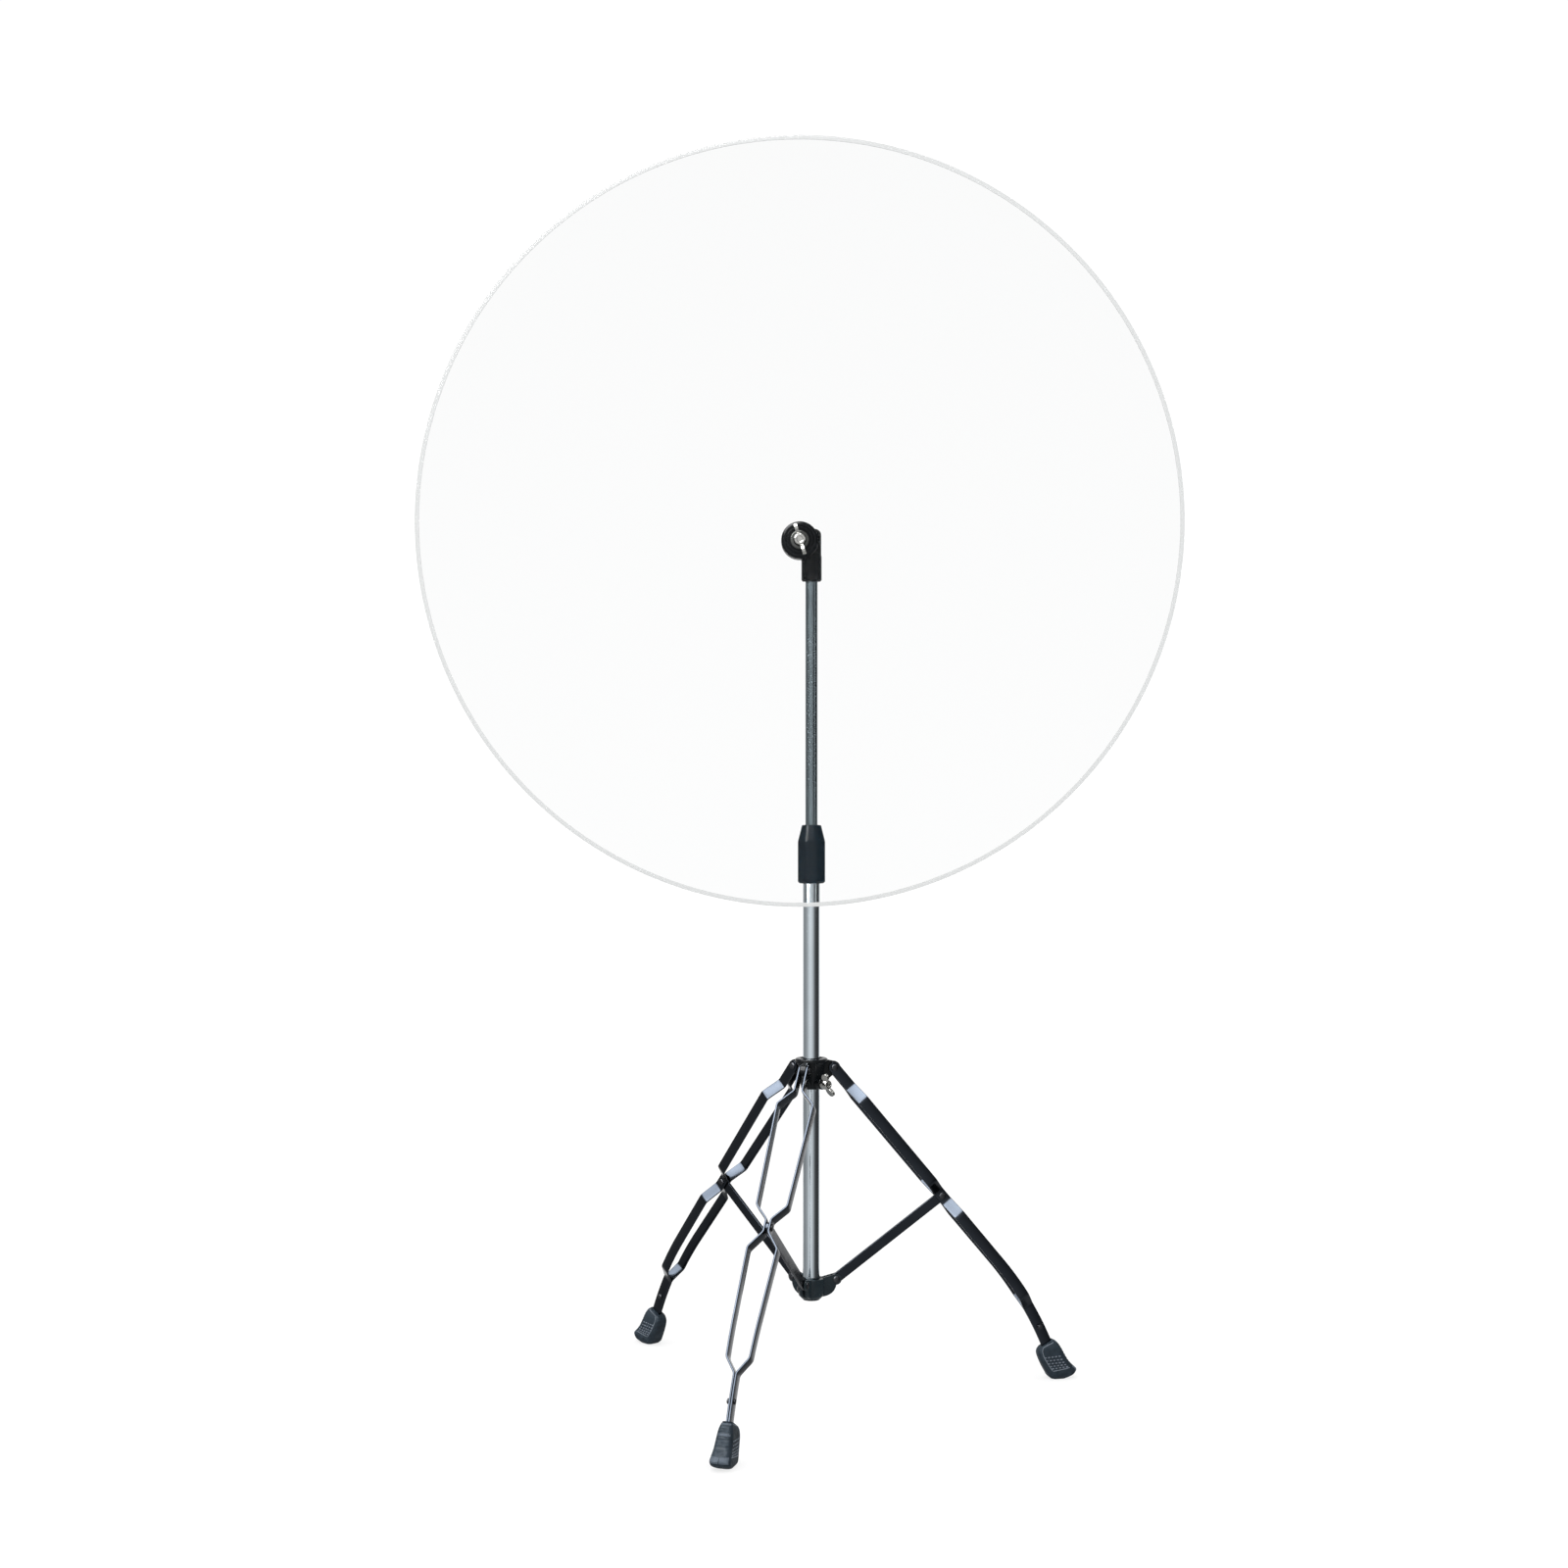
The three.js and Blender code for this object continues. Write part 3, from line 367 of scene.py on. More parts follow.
def plate(outline, thickness):
    """Prism of an outline in the leg's plane, points (radius, height), centred on that plane."""
    half = thickness / 2
    count = len(outline)
    verts = [(x, -half, z) for x, z in outline] + [(x, half, z) for x, z in outline]
    faces = [tuple(range(count)), tuple(range(2 * count - 1, count - 1, -1))]
    for i in range(count):
        n = (i + 1) % count
        faces.append((i, i + count, n + count, n))
    return verts, faces


def arc(centre, radius, start, end, steps):
    """Points on a circle from one angle to another."""
    points = []
    for step in range(steps + 1):
        turn = start + (end - start) * step / steps
        points.append((centre[0] + radius * math.cos(turn), centre[1] + radius * math.sin(turn)))
    return points


def front_place(depth=0.0):
    """Z of a part made along Z points to the front at the shield's bolt."""
    turn = Matrix.Rotation(math.radians(90), 4, "X")
    return Matrix.Translation((BOLT_SIDE * MM, -depth * MM, BOLT_HEIGHT * MM)) @ turn


# Corners of a rounded section: the two signs, and the quarter turn that its arc starts at
CORNERS = ((1, 1, 0), (-1, 1, 1), (-1, -1, 2), (1, -1, 3))


def leg_place(side):
    """X of a part points along the leg's direction from the mast."""
    return Matrix.Rotation(math.radians(LEG_ANGLES[side]), 4, "Z")


def across(radius, height):
    """In millimetres: Z of a part points along the leg's tangent, at a place in the leg's plane."""
    turn = Matrix.Rotation(math.radians(-90), 4, "X")
    return Matrix.Translation((radius, 0, height)) @ turn


# ---- shield

# Width of the frosted band round the rim, and radius of the bolt hole
RIM_BAND = 5.6
SHIELD_HOLE = 4.0


def shield():
    """Clear disc whose bolt hole lies below its centre, with its frosted rim."""
    back, front = SHIELD_BACK, SHIELD_BACK + SHIELD_THICKNESS
    rim = [
        (SHIELD_HOLE, back), (SHIELD_RADIUS - RIM_BAND, back), (SHIELD_RADIUS - 1.1, back + 0.9, 0.8),
        (SHIELD_RADIUS, back + 1.7, 0.6), (SHIELD_RADIUS, front - 1.7, 0.6),
        (SHIELD_RADIUS - 1.1, front - 0.9, 0.8), (SHIELD_RADIUS - RIM_BAND, front), (SHIELD_HOLE, front),
    ]
    profile = filleted(rim, 3)
    turn = Matrix.Rotation(math.radians(90), 4, "X")
    centre = (SHIELD_CENTRE[0] * MM, 0, SHIELD_CENTRE[1] * MM)
    place = Matrix.Translation(centre) @ turn
    verts, faces = lathe(profile, 288)
    hole = (BOLT_SIDE - SHIELD_CENTRE[0], BOLT_HEIGHT - SHIELD_CENTRE[1])
    shifted = []
    for x, y, z in verts:
        if math.hypot(x, y) < SHIELD_HOLE + 0.5:
            x, y = x + hole[0], y + hole[1]
        shifted.append((x, y, z))
    obj = piece("shield_disc", shifted, faces, "acrylic_face", "shield", ["shield_panel"],
                angle=24, place=place)
    obj.data.materials.append(LOOKS["acrylic_edge"])
    middle = Vector((AXIS_X + centre[0], 0, centre[2]))
    edge = (SHIELD_RADIUS - RIM_BAND - 0.1) * MM
    for poly in obj.data.polygons:
        at = Vector((poly.center.x, 0, poly.center.z))
        if (at - middle).length > edge and poly.area < 1e-3:  # the two faces' long slivers stay clear
            poly.material_index = 1
    obj.visible_shadow = False


# ---- clutch

CLUTCH_RADIUS = 24
CLUTCH_PAD = (22.5, 2)
CLUTCH_WASHER = (12, 1.6)
CLUTCH_CAP_THICKNESS = 6


def clutch():
    """Neck and rear disc, two rubber pads, front disc, washer and wing bolt."""
    neck_bottom, neck_top = 1068, BOLT_HEIGHT + 17
    neck = lathe(filleted([
        (TUBE_HOLE, neck_bottom), (11.6, neck_bottom, 0.5), (13.25, neck_bottom + 2, 0.9),
        (13.25, neck_bottom + 33, 0.4), (12.7, neck_bottom + 33.6, 0.4), (12.7, neck_top - 0.4, 8.2),
        (0, neck_top - 0.4), (0, neck_bottom + 37), (TUBE_HOLE, neck_bottom + 37),
    ], 8), 96)
    disc = lathe(filleted([
        (3.3, -2.2), (5.7, -2.2), (5.7, -7.65, 0.3), (20.6, -7.65, 0.9), (CLUTCH_RADIUS, -4.6, 1.4),
        (CLUTCH_RADIUS, 4.0, 0.5), (23.5, 4.6, 0.2), (23.5, 5.6, 0.2), (CLUTCH_RADIUS, 6.2, 0.5),
        (CLUTCH_RADIUS, 20.35, 1.2), (22.6, 20.35, 0.3), (22.6, 19.9, 0.2), (3.3, 19.9),
    ]), 112)
    lift = Matrix.Translation((BOLT_SIDE, 0, BOLT_HEIGHT))
    disc = moved(disc, lift @ Matrix.Rotation(math.radians(90), 4, "X"))
    verts, faces = merged(neck, disc)
    piece("clutch_casting", verts, faces, "black_plastic", "clutch", ["clutch_body"],
          angle=30)
    for name, start in (("rear", SHIELD_BACK - 2.3), ("front", SHIELD_BACK + SHIELD_THICKNESS + 0.3)):
        verts, faces = clutch_disc(start, *CLUTCH_PAD, 0.5, 0.5, 96)
        piece(f"clutch_pad_{name}", verts, faces, "pad_rubber", "clutch", [f"clutch_{name}_pad"],
              place=front_place())
    back = SHIELD_BACK + SHIELD_THICKNESS + 2.6
    front = back + CLUTCH_CAP_THICKNESS
    verts, faces = lathe(filleted([
        (BOLT_HOLE, back), (23.2, back, 0.4), (CLUTCH_RADIUS, back + 0.8, 0.4),
        (CLUTCH_RADIUS, front - 2.4, 0.6), (21.4, front, 1.4), (18.6, front, 0.3), (18.2, front - 0.8, 0.2),
        (17.4, front - 0.8, 0.2), (17.0, front, 0.3), (14.6, front, 0.2), (14.2, front - 0.7, 0.2),
        (13.4, front - 0.7, 0.2), (13.0, front, 0.2), (BOLT_HOLE, front),
    ]), 96)
    piece("clutch_cap_disc", verts, faces, "black_plastic", "clutch", ["clutch_cap"],
          angle=28, place=front_place())
    start = front + 0.3
    verts, faces = clutch_disc(start, *CLUTCH_WASHER, 0.4, 0.7, 72)
    piece("clutch_washer_ring", verts, faces, "dull_chrome", "clutch", ["clutch_washer"],
          place=front_place())
    seat = start + 1.9
    verts, faces = wing_bolt(3.0, seat + 7.6, 1.0, 108)
    piece("clutch_wing", verts, faces, "chrome", "clutch_wing", ["clutch_wing_bolt"],
          bevel=0.5, segments=3, angle=40, place=front_place(seat))


def clutch_disc(start, radius, thickness, back_fillet, front_fillet, count):
    """Flat disc on the clutch's bolt."""
    end = start + thickness
    return lathe(filleted([
        (BOLT_HOLE, start), (radius, start, back_fillet), (radius, end, front_fillet), (BOLT_HOLE, end),
    ]), count)


def wing_bolt(shank_radius, shank_length, scale, turn):
    """Cast wing bolt along Z, its seat at zero."""
    hub, tip, length = 8.5 * scale, 7.2 * scale, 13 * scale
    half, reach, thickness = 21 * scale, 12 * scale, 4.4 * scale
    body = lathe(filleted([
        (0, -shank_length), (shank_radius, -shank_length, 0.4), (shank_radius, 0), (hub, 0, 0.7),
        (hub, length * 0.5, 2.0), (tip, length - 0.6, 0.5), (tip - 0.9, length, 0.6),
        (4.2 * scale, length, 0.4), (3.7 * scale, length - 2.6, 0.4), (0, length - 2.6),
    ]), 64)
    parts = [body]
    ear = half - hub
    lower = [(0.7 * hub, length * 0.25), (hub + ear * 0.33, length * 0.25)]
    lower += bezier(lower[-1], (half, length * 0.5), (half, length * 0.5 + reach * 0.5), 7)
    lower += bezier(lower[-1], (half, length * 0.5 + reach), (half - ear * 0.5, length * 0.5 + reach), 7)
    lower += bezier(lower[-1], (hub + ear * 0.17, length * 0.5 + reach), (tip * 0.9, length - 1.0), 6)
    lower.append((0.75 * tip, length - 1.2))
    wing = plate(lower, thickness)
    parts.append(wing)
    parts.append(moved(wing, Matrix.Rotation(math.pi, 4, "Z")))
    return moved(merged(*parts), Matrix.Rotation(math.radians(turn), 4, "Z"))


def bezier(start, control, end, steps):
    """Points after the start of a quadratic curve."""
    points = []
    for step in range(1, steps + 1):
        t = step / steps
        x = (1 - t) ** 2 * start[0] + 2 * t * (1 - t) * control[0] + t * t * end[0]
        z = (1 - t) ** 2 * start[1] + 2 * t * (1 - t) * control[1] + t * t * end[1]
        points.append((x, z))
    return points


# ---- mast

# Inner and outer radius, bottom and top
BASE_TUBE = (9.9, 11.1, 125, 710)
UPPER_TUBE = (6.75, 7.95, 500, 1104.7)


def tube(inner, outer, bottom, top, count):
    """Tube about the mast axis."""
    return lathe(filleted([(inner, bottom), (outer, bottom, 0.3), (outer, top, 0.3), (inner, top)]), count)


def mast():
    """Base tube, upper tube and clamp nut."""
    verts, faces = tube(*BASE_TUBE, 72)
    piece("lower_mast", verts, faces, "chrome_tube", "root", ["base_tube"])
    verts, faces = tube(*UPPER_TUBE, 64)
    piece("upper_mast", verts, faces, "nickel_tube", "post", ["upper_tube"])
    verts, faces = clamp_nut()
    piece("clamp_nut_grip", verts, faces, "nut_plastic", "clamp_nut", ["height_clamp_nut"],
          angle=13)


# Clamp nut: half width over its flats, the flats' share of the cone's radius, the radius below which
# it is round, and the radius of its bore
NUT_FLAT = 17.8
NUT_FLAT_SHARE = 0.958
NUT_ROUND_BELOW = 12.6
NUT_BORE = 14.3


def clamp_nut():
    """Turned nut with eight flats that run on up its cone."""
    bottom, shoulder, top = 674.5, 728.5, 750.5
    outside = filleted([
        (NUT_BORE, bottom), (16.4, bottom, 0.5), (18.75, bottom + 2.4, 0.8), (18.75, shoulder, 3.0),
        (13.1, top - 0.4, 0.4), (12.4, top, 0.3), (TUBE_HOLE, top),
    ], 8)
    rows = []
    for (r0, z0), (r1, z1) in zip(outside, outside[1:]):
        steps = max(1, int(abs(z1 - z0) / 2))
        for step in range(steps):
            share = step / steps
            rows.append((r0 + (r1 - r0) * share, z0 + (z1 - z0) * share))
    rows.append(outside[-1])
    rows += [(TUBE_HOLE, 735.0), (NUT_BORE, 712.0)]
    count = 160
    verts, faces = [], []
    for radius, height in rows:
        flat = min(NUT_FLAT, NUT_FLAT_SHARE * radius)
        faceted = radius > NUT_ROUND_BELOW and radius != NUT_BORE
        for i in range(count):
            turn = 2 * math.pi * i / count
            off = (turn + math.pi / 8) % (math.pi / 4) - math.pi / 8
            r = min(radius, flat / math.cos(off)) if faceted else radius
            verts.append((r * math.cos(turn), r * math.sin(turn), height))
    total = len(rows)
    for row in range(total):
        after = (row + 1) % total
        for i in range(count):
            n = (i + 1) % count
            faces.append((row * count + i, row * count + n, after * count + n, after * count + i))
    return verts, faces


# ---- hubs

def lug(root, bottom, top, pivot, radius, thickness, belly=0.0):
    """Ear of a hub round a pivot. With a belly its lower edge sags towards the pivot."""
    outline = [(root, bottom)]
    end = (pivot[0], pivot[1] - radius)
    if belly:
        straight = Vector(((root + pivot[0]) / 2, (bottom + end[1]) / 2))
        control = straight.lerp(Vector((pivot[0], bottom)), belly)
        outline += bezier(outline[0], tuple(control), end, 10)[:-1]
    outline += arc(pivot, radius, -math.pi / 2, math.pi / 2, 18)
    outline.append((root, top))
    return plate(outline, thickness)


def leg_hub():
    """Sliding hub with three lugs and a screw boss, and its wing bolt."""
    pivot_z = LEG_PIVOT[1]
    bottom, top = pivot_z - 27, pivot_z + 13
    body = lathe(filleted([
        (HUB_BORE, bottom), (13.5, bottom, 0.8), (17.5, top - 10, 1.2), (20.2, top - 5.6, 0.6),
        (21.5, top - 4.6, 0.6), (21.5, top - 1.2, 0.8), (19.8, top, 0.8), (15.2, top, 0.4),
        (14.6, top - 1.0, 0.3), (HUB_BORE, top - 1.0),
    ]), 96)
    parts = [body]
    for side in LEG_ANGLES:
        arm = lug(13, pivot_z - 22, top - 0.8, LEG_PIVOT, 8.5, 7.4)
        parts.append(moved(arm, leg_place(side)))
    boss = lathe(filleted([(3.3, 13), (7.5, 13), (7.5, 23, 1.0), (3.3, 23)]), 48)
    parts.append(moved(boss, hub_wing_place()))
    verts, faces = merged(*parts)
    piece("leg_slider", verts, faces, "black_plastic", "leg_hub_body", ["leg_hub"],
          bevel=0.5, angle=40)
    verts, faces = moved(wing_bolt(3.0, 11, 0.8, 25), Matrix.Translation((0, 0, 23.3)))
    verts, faces = moved((verts, faces), hub_wing_place())
    piece("leg_slider_wing", verts, faces, "chrome", "leg_hub_wing", ["leg_hub_wing_bolt"],
          bevel=0.4, segments=3, angle=40)


def hub_wing_place():
    """In millimetres: Z points outwards at the wing bolt of the sliding hub."""
    angle = math.radians(LEG_ANGLES["right"] - 60)
    lift = Matrix.Translation((0, 0, LEG_PIVOT[1] - 19))
    return lift @ Matrix.Rotation(angle, 4, "Z") @ Matrix.Rotation(math.radians(90), 4, "Y")


def lower_hub():
    """Fixed hub with three forked arms."""
    pivot_z = STRUT_PIVOT[1]
    bottom, top = pivot_z - 24.3, pivot_z + 2.5
    body = lathe(filleted([
        (HUB_BORE, bottom), (12.6, bottom, 0.8), (16.8, bottom + 4.5, 3.0), (17, top, 1.0),
        (13.4, top, 0.4), (12.8, top - 0.8, 0.3), (HUB_BORE, top - 0.8),
    ]), 96)
    parts = [body]
    for side in LEG_ANGLES:
        for sign in (-1, 1):
            cheek = lug(13.5, bottom + 2, top, STRUT_PIVOT, 7.2, 3.0, 0.75)
            cheek = moved(cheek, Matrix.Translation((0, sign * 3.5, 0)))
            parts.append(moved(cheek, leg_place(side)))
        web = plate([(13.5, bottom + 2), (22, bottom + 3.2), (25.2, bottom + 6), (25.2, top), (13.5, top)], 5)
        parts.append(moved(web, leg_place(side)))
    verts, faces = merged(*parts)
    piece("lower_spider", verts, faces, "spider_plastic", "root", ["lower_hub"],
          bevel=0.5, angle=40)


# ---- legs

def leg_line(along):
    """Radius, height and slope of a leg's middle line, a distance along it from its hub pivot."""
    slope0 = math.atan2(LEG_PIVOT[1] - MID_PIVOT[1], MID_PIVOT[0] - LEG_PIVOT[0])
    straight = min(along, KNEE_START)
    x = LEG_PIVOT[0] + straight * math.cos(slope0)
    z = LEG_PIVOT[1] - straight * math.sin(slope0)
    bent = min(max(along - KNEE_START, 0), KNEE_LENGTH)
    slope = slope0 + KNEE_TURN * bent / KNEE_LENGTH
    radius = KNEE_LENGTH / KNEE_TURN
    x += radius * (math.sin(slope) - math.sin(slope0))
    z -= radius * (math.cos(slope0) - math.cos(slope))
    tail = max(along - KNEE_START - KNEE_LENGTH, 0)
    return x + tail * math.cos(slope), z - tail * math.sin(slope), slope


MID_ALONG = math.hypot(MID_PIVOT[0] - LEG_PIVOT[0], LEG_PIVOT[1] - MID_PIVOT[1])

# Corners of a strap: distance along the leg, and sideways distance from the leg's plane
STRAP_CORNERS = [
    (-20, 5.25), (34, 5.25), (54, 24.3), (MID_ALONG - 28, 20.2), (MID_ALONG - 9, 3.25),
    (MID_ALONG + 9, 3.25), (MID_ALONG + 31, 19.3), (406, 14.8), (425, 1.4), (STRAP_END + 20, 1.4),
]


def sharp_offset(along):
    """Sideways distance of a strap's middle before its corners are eased."""
    for (a0, o0), (a1, o1) in zip(STRAP_CORNERS, STRAP_CORNERS[1:]):
        if a0 <= along <= a1:
            return o0 + (o1 - o0) * (along - a0) / (a1 - a0)
    return STRAP_CORNERS[-1][1]


def strap_offset(along):
    """Sideways distance of a strap's middle, its corners eased to a bend radius."""
    reach, taps = 3.4, 6
    total = weight = 0
    for i in range(-taps, taps + 1):
        w = 1 - abs(i) / (taps + 1)
        total += w * sharp_offset(along + reach * i / taps)
        weight += w
    return total / weight


def strap(sign):
    """One bowed strap of a leg, on the side that the sign gives."""
    half, thick = STRAP_WIDTH / 2, STRAP_THICKNESS / 2
    stations = []
    for step in range(1, 10):
        turn = math.pi / 2 * step / 10
        stations.append((-half * math.cos(turn), half * math.sin(turn)))
    along = 0.0
    while along < STRAP_END:
        stations.append((along, half))
        near = min(abs(along - at) for at, _ in STRAP_CORNERS)
        along += 1.1 if near < 6.5 else 5.0
    stations.append((STRAP_END, half))
    sections = []
    for along, wide in stations:
        x, z, slope = leg_line(along)
        rise = strap_offset(along + 0.6) - strap_offset(along - 0.6)
        lean = sign * math.atan2(rise, 1.2)
        direction = Vector((math.cos(slope), 0, -math.sin(slope)))
        up = Vector((math.sin(slope), 0, math.cos(slope)))
        through = Vector((0, 1, 0)) * math.cos(lean) - direction * math.sin(lean)
        middle = Vector((x, sign * strap_offset(along), z))
        ring = []
        round_off = min(0.7, wide * 0.45)
        for ca, cb, start in CORNERS:
            for step in range(4):
                turn = (start + step / 3) * math.pi / 2
                a = ca * (wide - round_off) + round_off * math.cos(turn)
                b = cb * (thick - round_off) + round_off * math.sin(turn)
                ring.append(middle + up * a + through * b)
        sections.append(ring)
    return loft(sections)


def head(radius, height, seat, inner, shank):
    """Domed rivet head with a stub, from its seat outwards along Z."""
    profile = [(0, inner), (shank, inner), (shank, seat), (radius, seat, 0.15), (radius, seat + 0.6, 0.25)]
    for step in range(1, 7):
        turn = math.pi / 2 * step / 6
        profile.append((radius * 0.97 * math.cos(turn), seat + 0.6 + (height - 0.6) * math.sin(turn)))
    profile[-1] = (0, seat + height)
    return lathe(filleted(profile, 3), 40)


def through_rivet(grip):
    """Rivet with a head at either end of its grip."""
    one = head(4.5, 1.7, grip + 0.3, 0, 3.0)
    return merged(one, moved(one, Matrix.Rotation(math.pi, 4, "X")))


def hexagon(width, bottom, top):
    """Hex nut, its width over flats."""
    outline = []
    for i in range(6):
        turn = math.radians(60 * i + 30)
        outline.append((width / math.sqrt(3) * math.cos(turn), width / math.sqrt(3) * math.sin(turn)))
    verts = [(x, y, bottom) for x, y in outline] + [(x, y, top) for x, y in outline]
    faces = [tuple(range(5, -1, -1)), tuple(range(6, 12))]
    for i in range(6):
        n = (i + 1) % 6
        faces.append((i, n, n + 6, i + 6))
    return verts, faces


def strut():
    """Flat bar with round ends on its two pivots."""
    half = STRUT_WIDTH / 2
    rise = math.atan2(MID_PIVOT[1] - STRUT_PIVOT[1], MID_PIVOT[0] - STRUT_PIVOT[0])
    outline = arc(MID_PIVOT, half, rise - math.pi / 2, rise + math.pi / 2, 20)
    outline += arc(STRUT_PIVOT, half, rise + math.pi / 2, rise + 3 * math.pi / 2, 20)
    return plate(outline, STRUT_THICKNESS)


# Boot sections from the collar to the sole: inner distance and height, outer distance and height, width
BOOT_FOOT = 344
BOOT_CORNER = 0.62
BOOT_ROWS = [
    (-26.5, 43.5, -11, 52, 13.5), (-30.5, 41.5, -6, 49.5, 16.5), (-33, 36.5, -1, 43.5, 20),
    (-32.2, 30.5, 4.5, 33.5, 22.5), (-28.3, 21, 10.5, 23.5, 24.5), (-24.2, 13, 17, 16.5, 26.5),
    (-21, 7.5, 21.3, 11.5, 28), (-18.5, 3, 17.5, 5, 27.4), (-15, 0, 7, 0, 22),
]

# How far the boot's skin stands out, by row: the collar's lip, the groove under it and the body
BOOT_RIBS = [(0.0, 0.0), (0.28, 0.0), (0.34, -0.8), (0.52, -0.8), (0.6, -0.5), (8.0, -0.5)]

# The fine ribs of the outer face: from and to row, height, and number a row
WAVE_ROWS = (1.2, 4.4)
WAVE_HEIGHT = 0.24
WAVES_A_ROW = 2.6

# The dashes on the side faces: first row and step to the next, spacing, and the three half sizes
DASH_START = 3.2
DASH_STEP = 0.42
DASH_SPACING = 5.0
DASH = (1.8, 0.95, 0.5)


def boot_row(at):
    """A section's five numbers at any place between the rows, on a smooth curve through them."""
    i = min(int(at), len(BOOT_ROWS) - 2)
    t = at - i
    before = BOOT_ROWS[max(i - 1, 0)]
    after = BOOT_ROWS[min(i + 2, len(BOOT_ROWS) - 1)]
    row = []
    for p0, p1, p2, p3 in zip(before, BOOT_ROWS[i], BOOT_ROWS[i + 1], after):
        bend = (2 * p0 - 5 * p1 + 4 * p2 - p3) * t + (3 * p1 - p0 - 3 * p2 + p3) * t * t
        row.append(p1 + 0.5 * t * (p2 - p0 + bend))
    return row


def boot_plane(at):
    """Middle, outward direction, half depth and half width of a boot's section."""
    inner, inner_z, outer, outer_z, width = boot_row(at)
    start = Vector((BOOT_FOOT + inner, 0, max(inner_z, 0)))
    end = Vector((BOOT_FOOT + outer, 0, max(outer_z, 0)))
    return (start + end) / 2, (end - start).normalized(), (end - start).length / 2, width / 2


def stepped(at, table):
    """Value at a place between the entries of a table."""
    for (a0, v0), (a1, v1) in zip(table, table[1:]):
        if a0 <= at <= a1:
            return v0 + (v1 - v0) * (at - a0) / (a1 - a0)
    return table[-1][1]


def boot_ring(at):
    """Rounded rectangle across the boot, with the collar's lip and the ribs of its outer face."""
    middle, outwards, deep, wide = boot_plane(at)
    swell = stepped(at, BOOT_RIBS)
    corner = BOOT_CORNER * min(deep, wide)
    steps, ring = 9, []
    for ca, cb, start in CORNERS:
        for step in range(steps + 1):
            turn = (start + step / steps) * math.pi / 2
            a = ca * (deep - corner) + (corner + swell) * math.cos(turn)
            b = cb * (wide - corner) + (corner + swell) * math.sin(turn)
            if math.cos(turn) > 0.7 and WAVE_ROWS[0] < at < WAVE_ROWS[1]:
                a += WAVE_HEIGHT * math.sin(at * 2 * math.pi * WAVES_A_ROW)
            point = middle + outwards * a
            point.y += b
            point.z = max(point.z, 0)
            ring.append(point)
    return ring


def boot_skin(at, share, lift):
    """Place on the outer face, its share of the half width wrapped round the rounded edges."""
    middle, outwards, deep, wide = boot_plane(at)
    swell = stepped(at, BOOT_RIBS) + lift
    corner = BOOT_CORNER * min(deep, wide)
    flat = 0.4
    turn = max(abs(share) - flat, 0) / (1 - flat) * math.radians(62)
    a = deep - corner + (corner + swell) * math.cos(turn)
    b = (wide - corner) * min(abs(share) / flat, 1) + (corner + swell) * math.sin(turn)
    point = middle + outwards * a
    point.y += math.copysign(b, share)
    return point


def outer_pad(start, end, left, right, lift=0.25):
    """Thin raised pad on the outer face, between two rows and two shares of the half width."""
    rows, columns, sections = 8, 8, []
    for row in range(rows + 1):
        at = start + (end - start) * row / rows
        top, under = [], []
        for column in range(columns + 1):
            share = left + (right - left) * column / columns
            edge = row in (0, rows) or column in (0, columns)
            top.append(boot_skin(at, share, lift * 0.6 if edge else lift))
            under.append(boot_skin(at, share, -0.5))
        sections.append(top + under[::-1])
    return loft(sections)


def boot():
    """Rubber boot, with close rows where its collar, ribs and toe turn."""
    rows = [0.0, 0.06, 0.14, 0.22, 0.28, 0.34, 0.42, 0.52, 0.6, 0.75, 0.9, 1.05]
    rows += [1.2 + 0.0758 * i for i in range(43)]
    rows += [4.5, 4.6, 4.63, 4.68, 4.78, 4.83, 4.86, 5.0, 5.25, 5.5, 5.75, 6.0, 6.2, 6.4, 6.6, 6.8, 7.0]
    rows += [7.2, 7.4, 7.6, 7.75, 7.9, 8.0]
    return loft([boot_ring(at) for at in rows])


def boot_marks_painted_highlight():
    """Raised dashes and lines on the two side faces, in a much lighter rubber that is a painted highlight."""
    parts = []
    tangent = Vector((0, 1, 0))
    for sign in (-1, 1):
        for row in range(5):
            at = DASH_START + DASH_STEP * row
            middle, outwards, _, wide = boot_plane(at)
            down = outwards.cross(tangent).normalized()
            for column in range(5):
                along = (column - 2) * DASH_SPACING + row * 0.3 - 1.0
                centre = middle + outwards * along + tangent * sign * (wide - 0.6)
                parts.append(block(centre, outwards * DASH[0], down * DASH[1], tangent * sign * DASH[2]))
        parts.append(side_line(sign, [(-0.62, 1.15), (-0.3, 1.0), (0.0, 0.9), (0.35, 0.8), (0.62, 0.7)]))
        parts.append(side_line(sign, [(-0.62, 1.15), (-0.66, 2.0), (-0.66, 3.0), (-0.62, 4.0), (-0.58, 5.2)]))
        parts.append(side_line(sign, [(-0.58, 5.4), (-0.2, 5.35), (0.2, 5.25), (0.62, 5.1)]))
    return merged(*parts)


def boot_bands_painted_highlight():
    """Smooth pads on the outer face: one under the collar and two on the toe, in a lighter rubber that is a
    painted highlight of the overhead light.
    """
    return merged(outer_pad(0.66, 1.1, -0.85, 0.85, 0.25), outer_pad(2.35, 2.6, -0.8, 0.8, 0.3),
                  outer_pad(4.95, 6.3, -0.9, -0.04), outer_pad(4.95, 6.3, 0.04, 0.9))


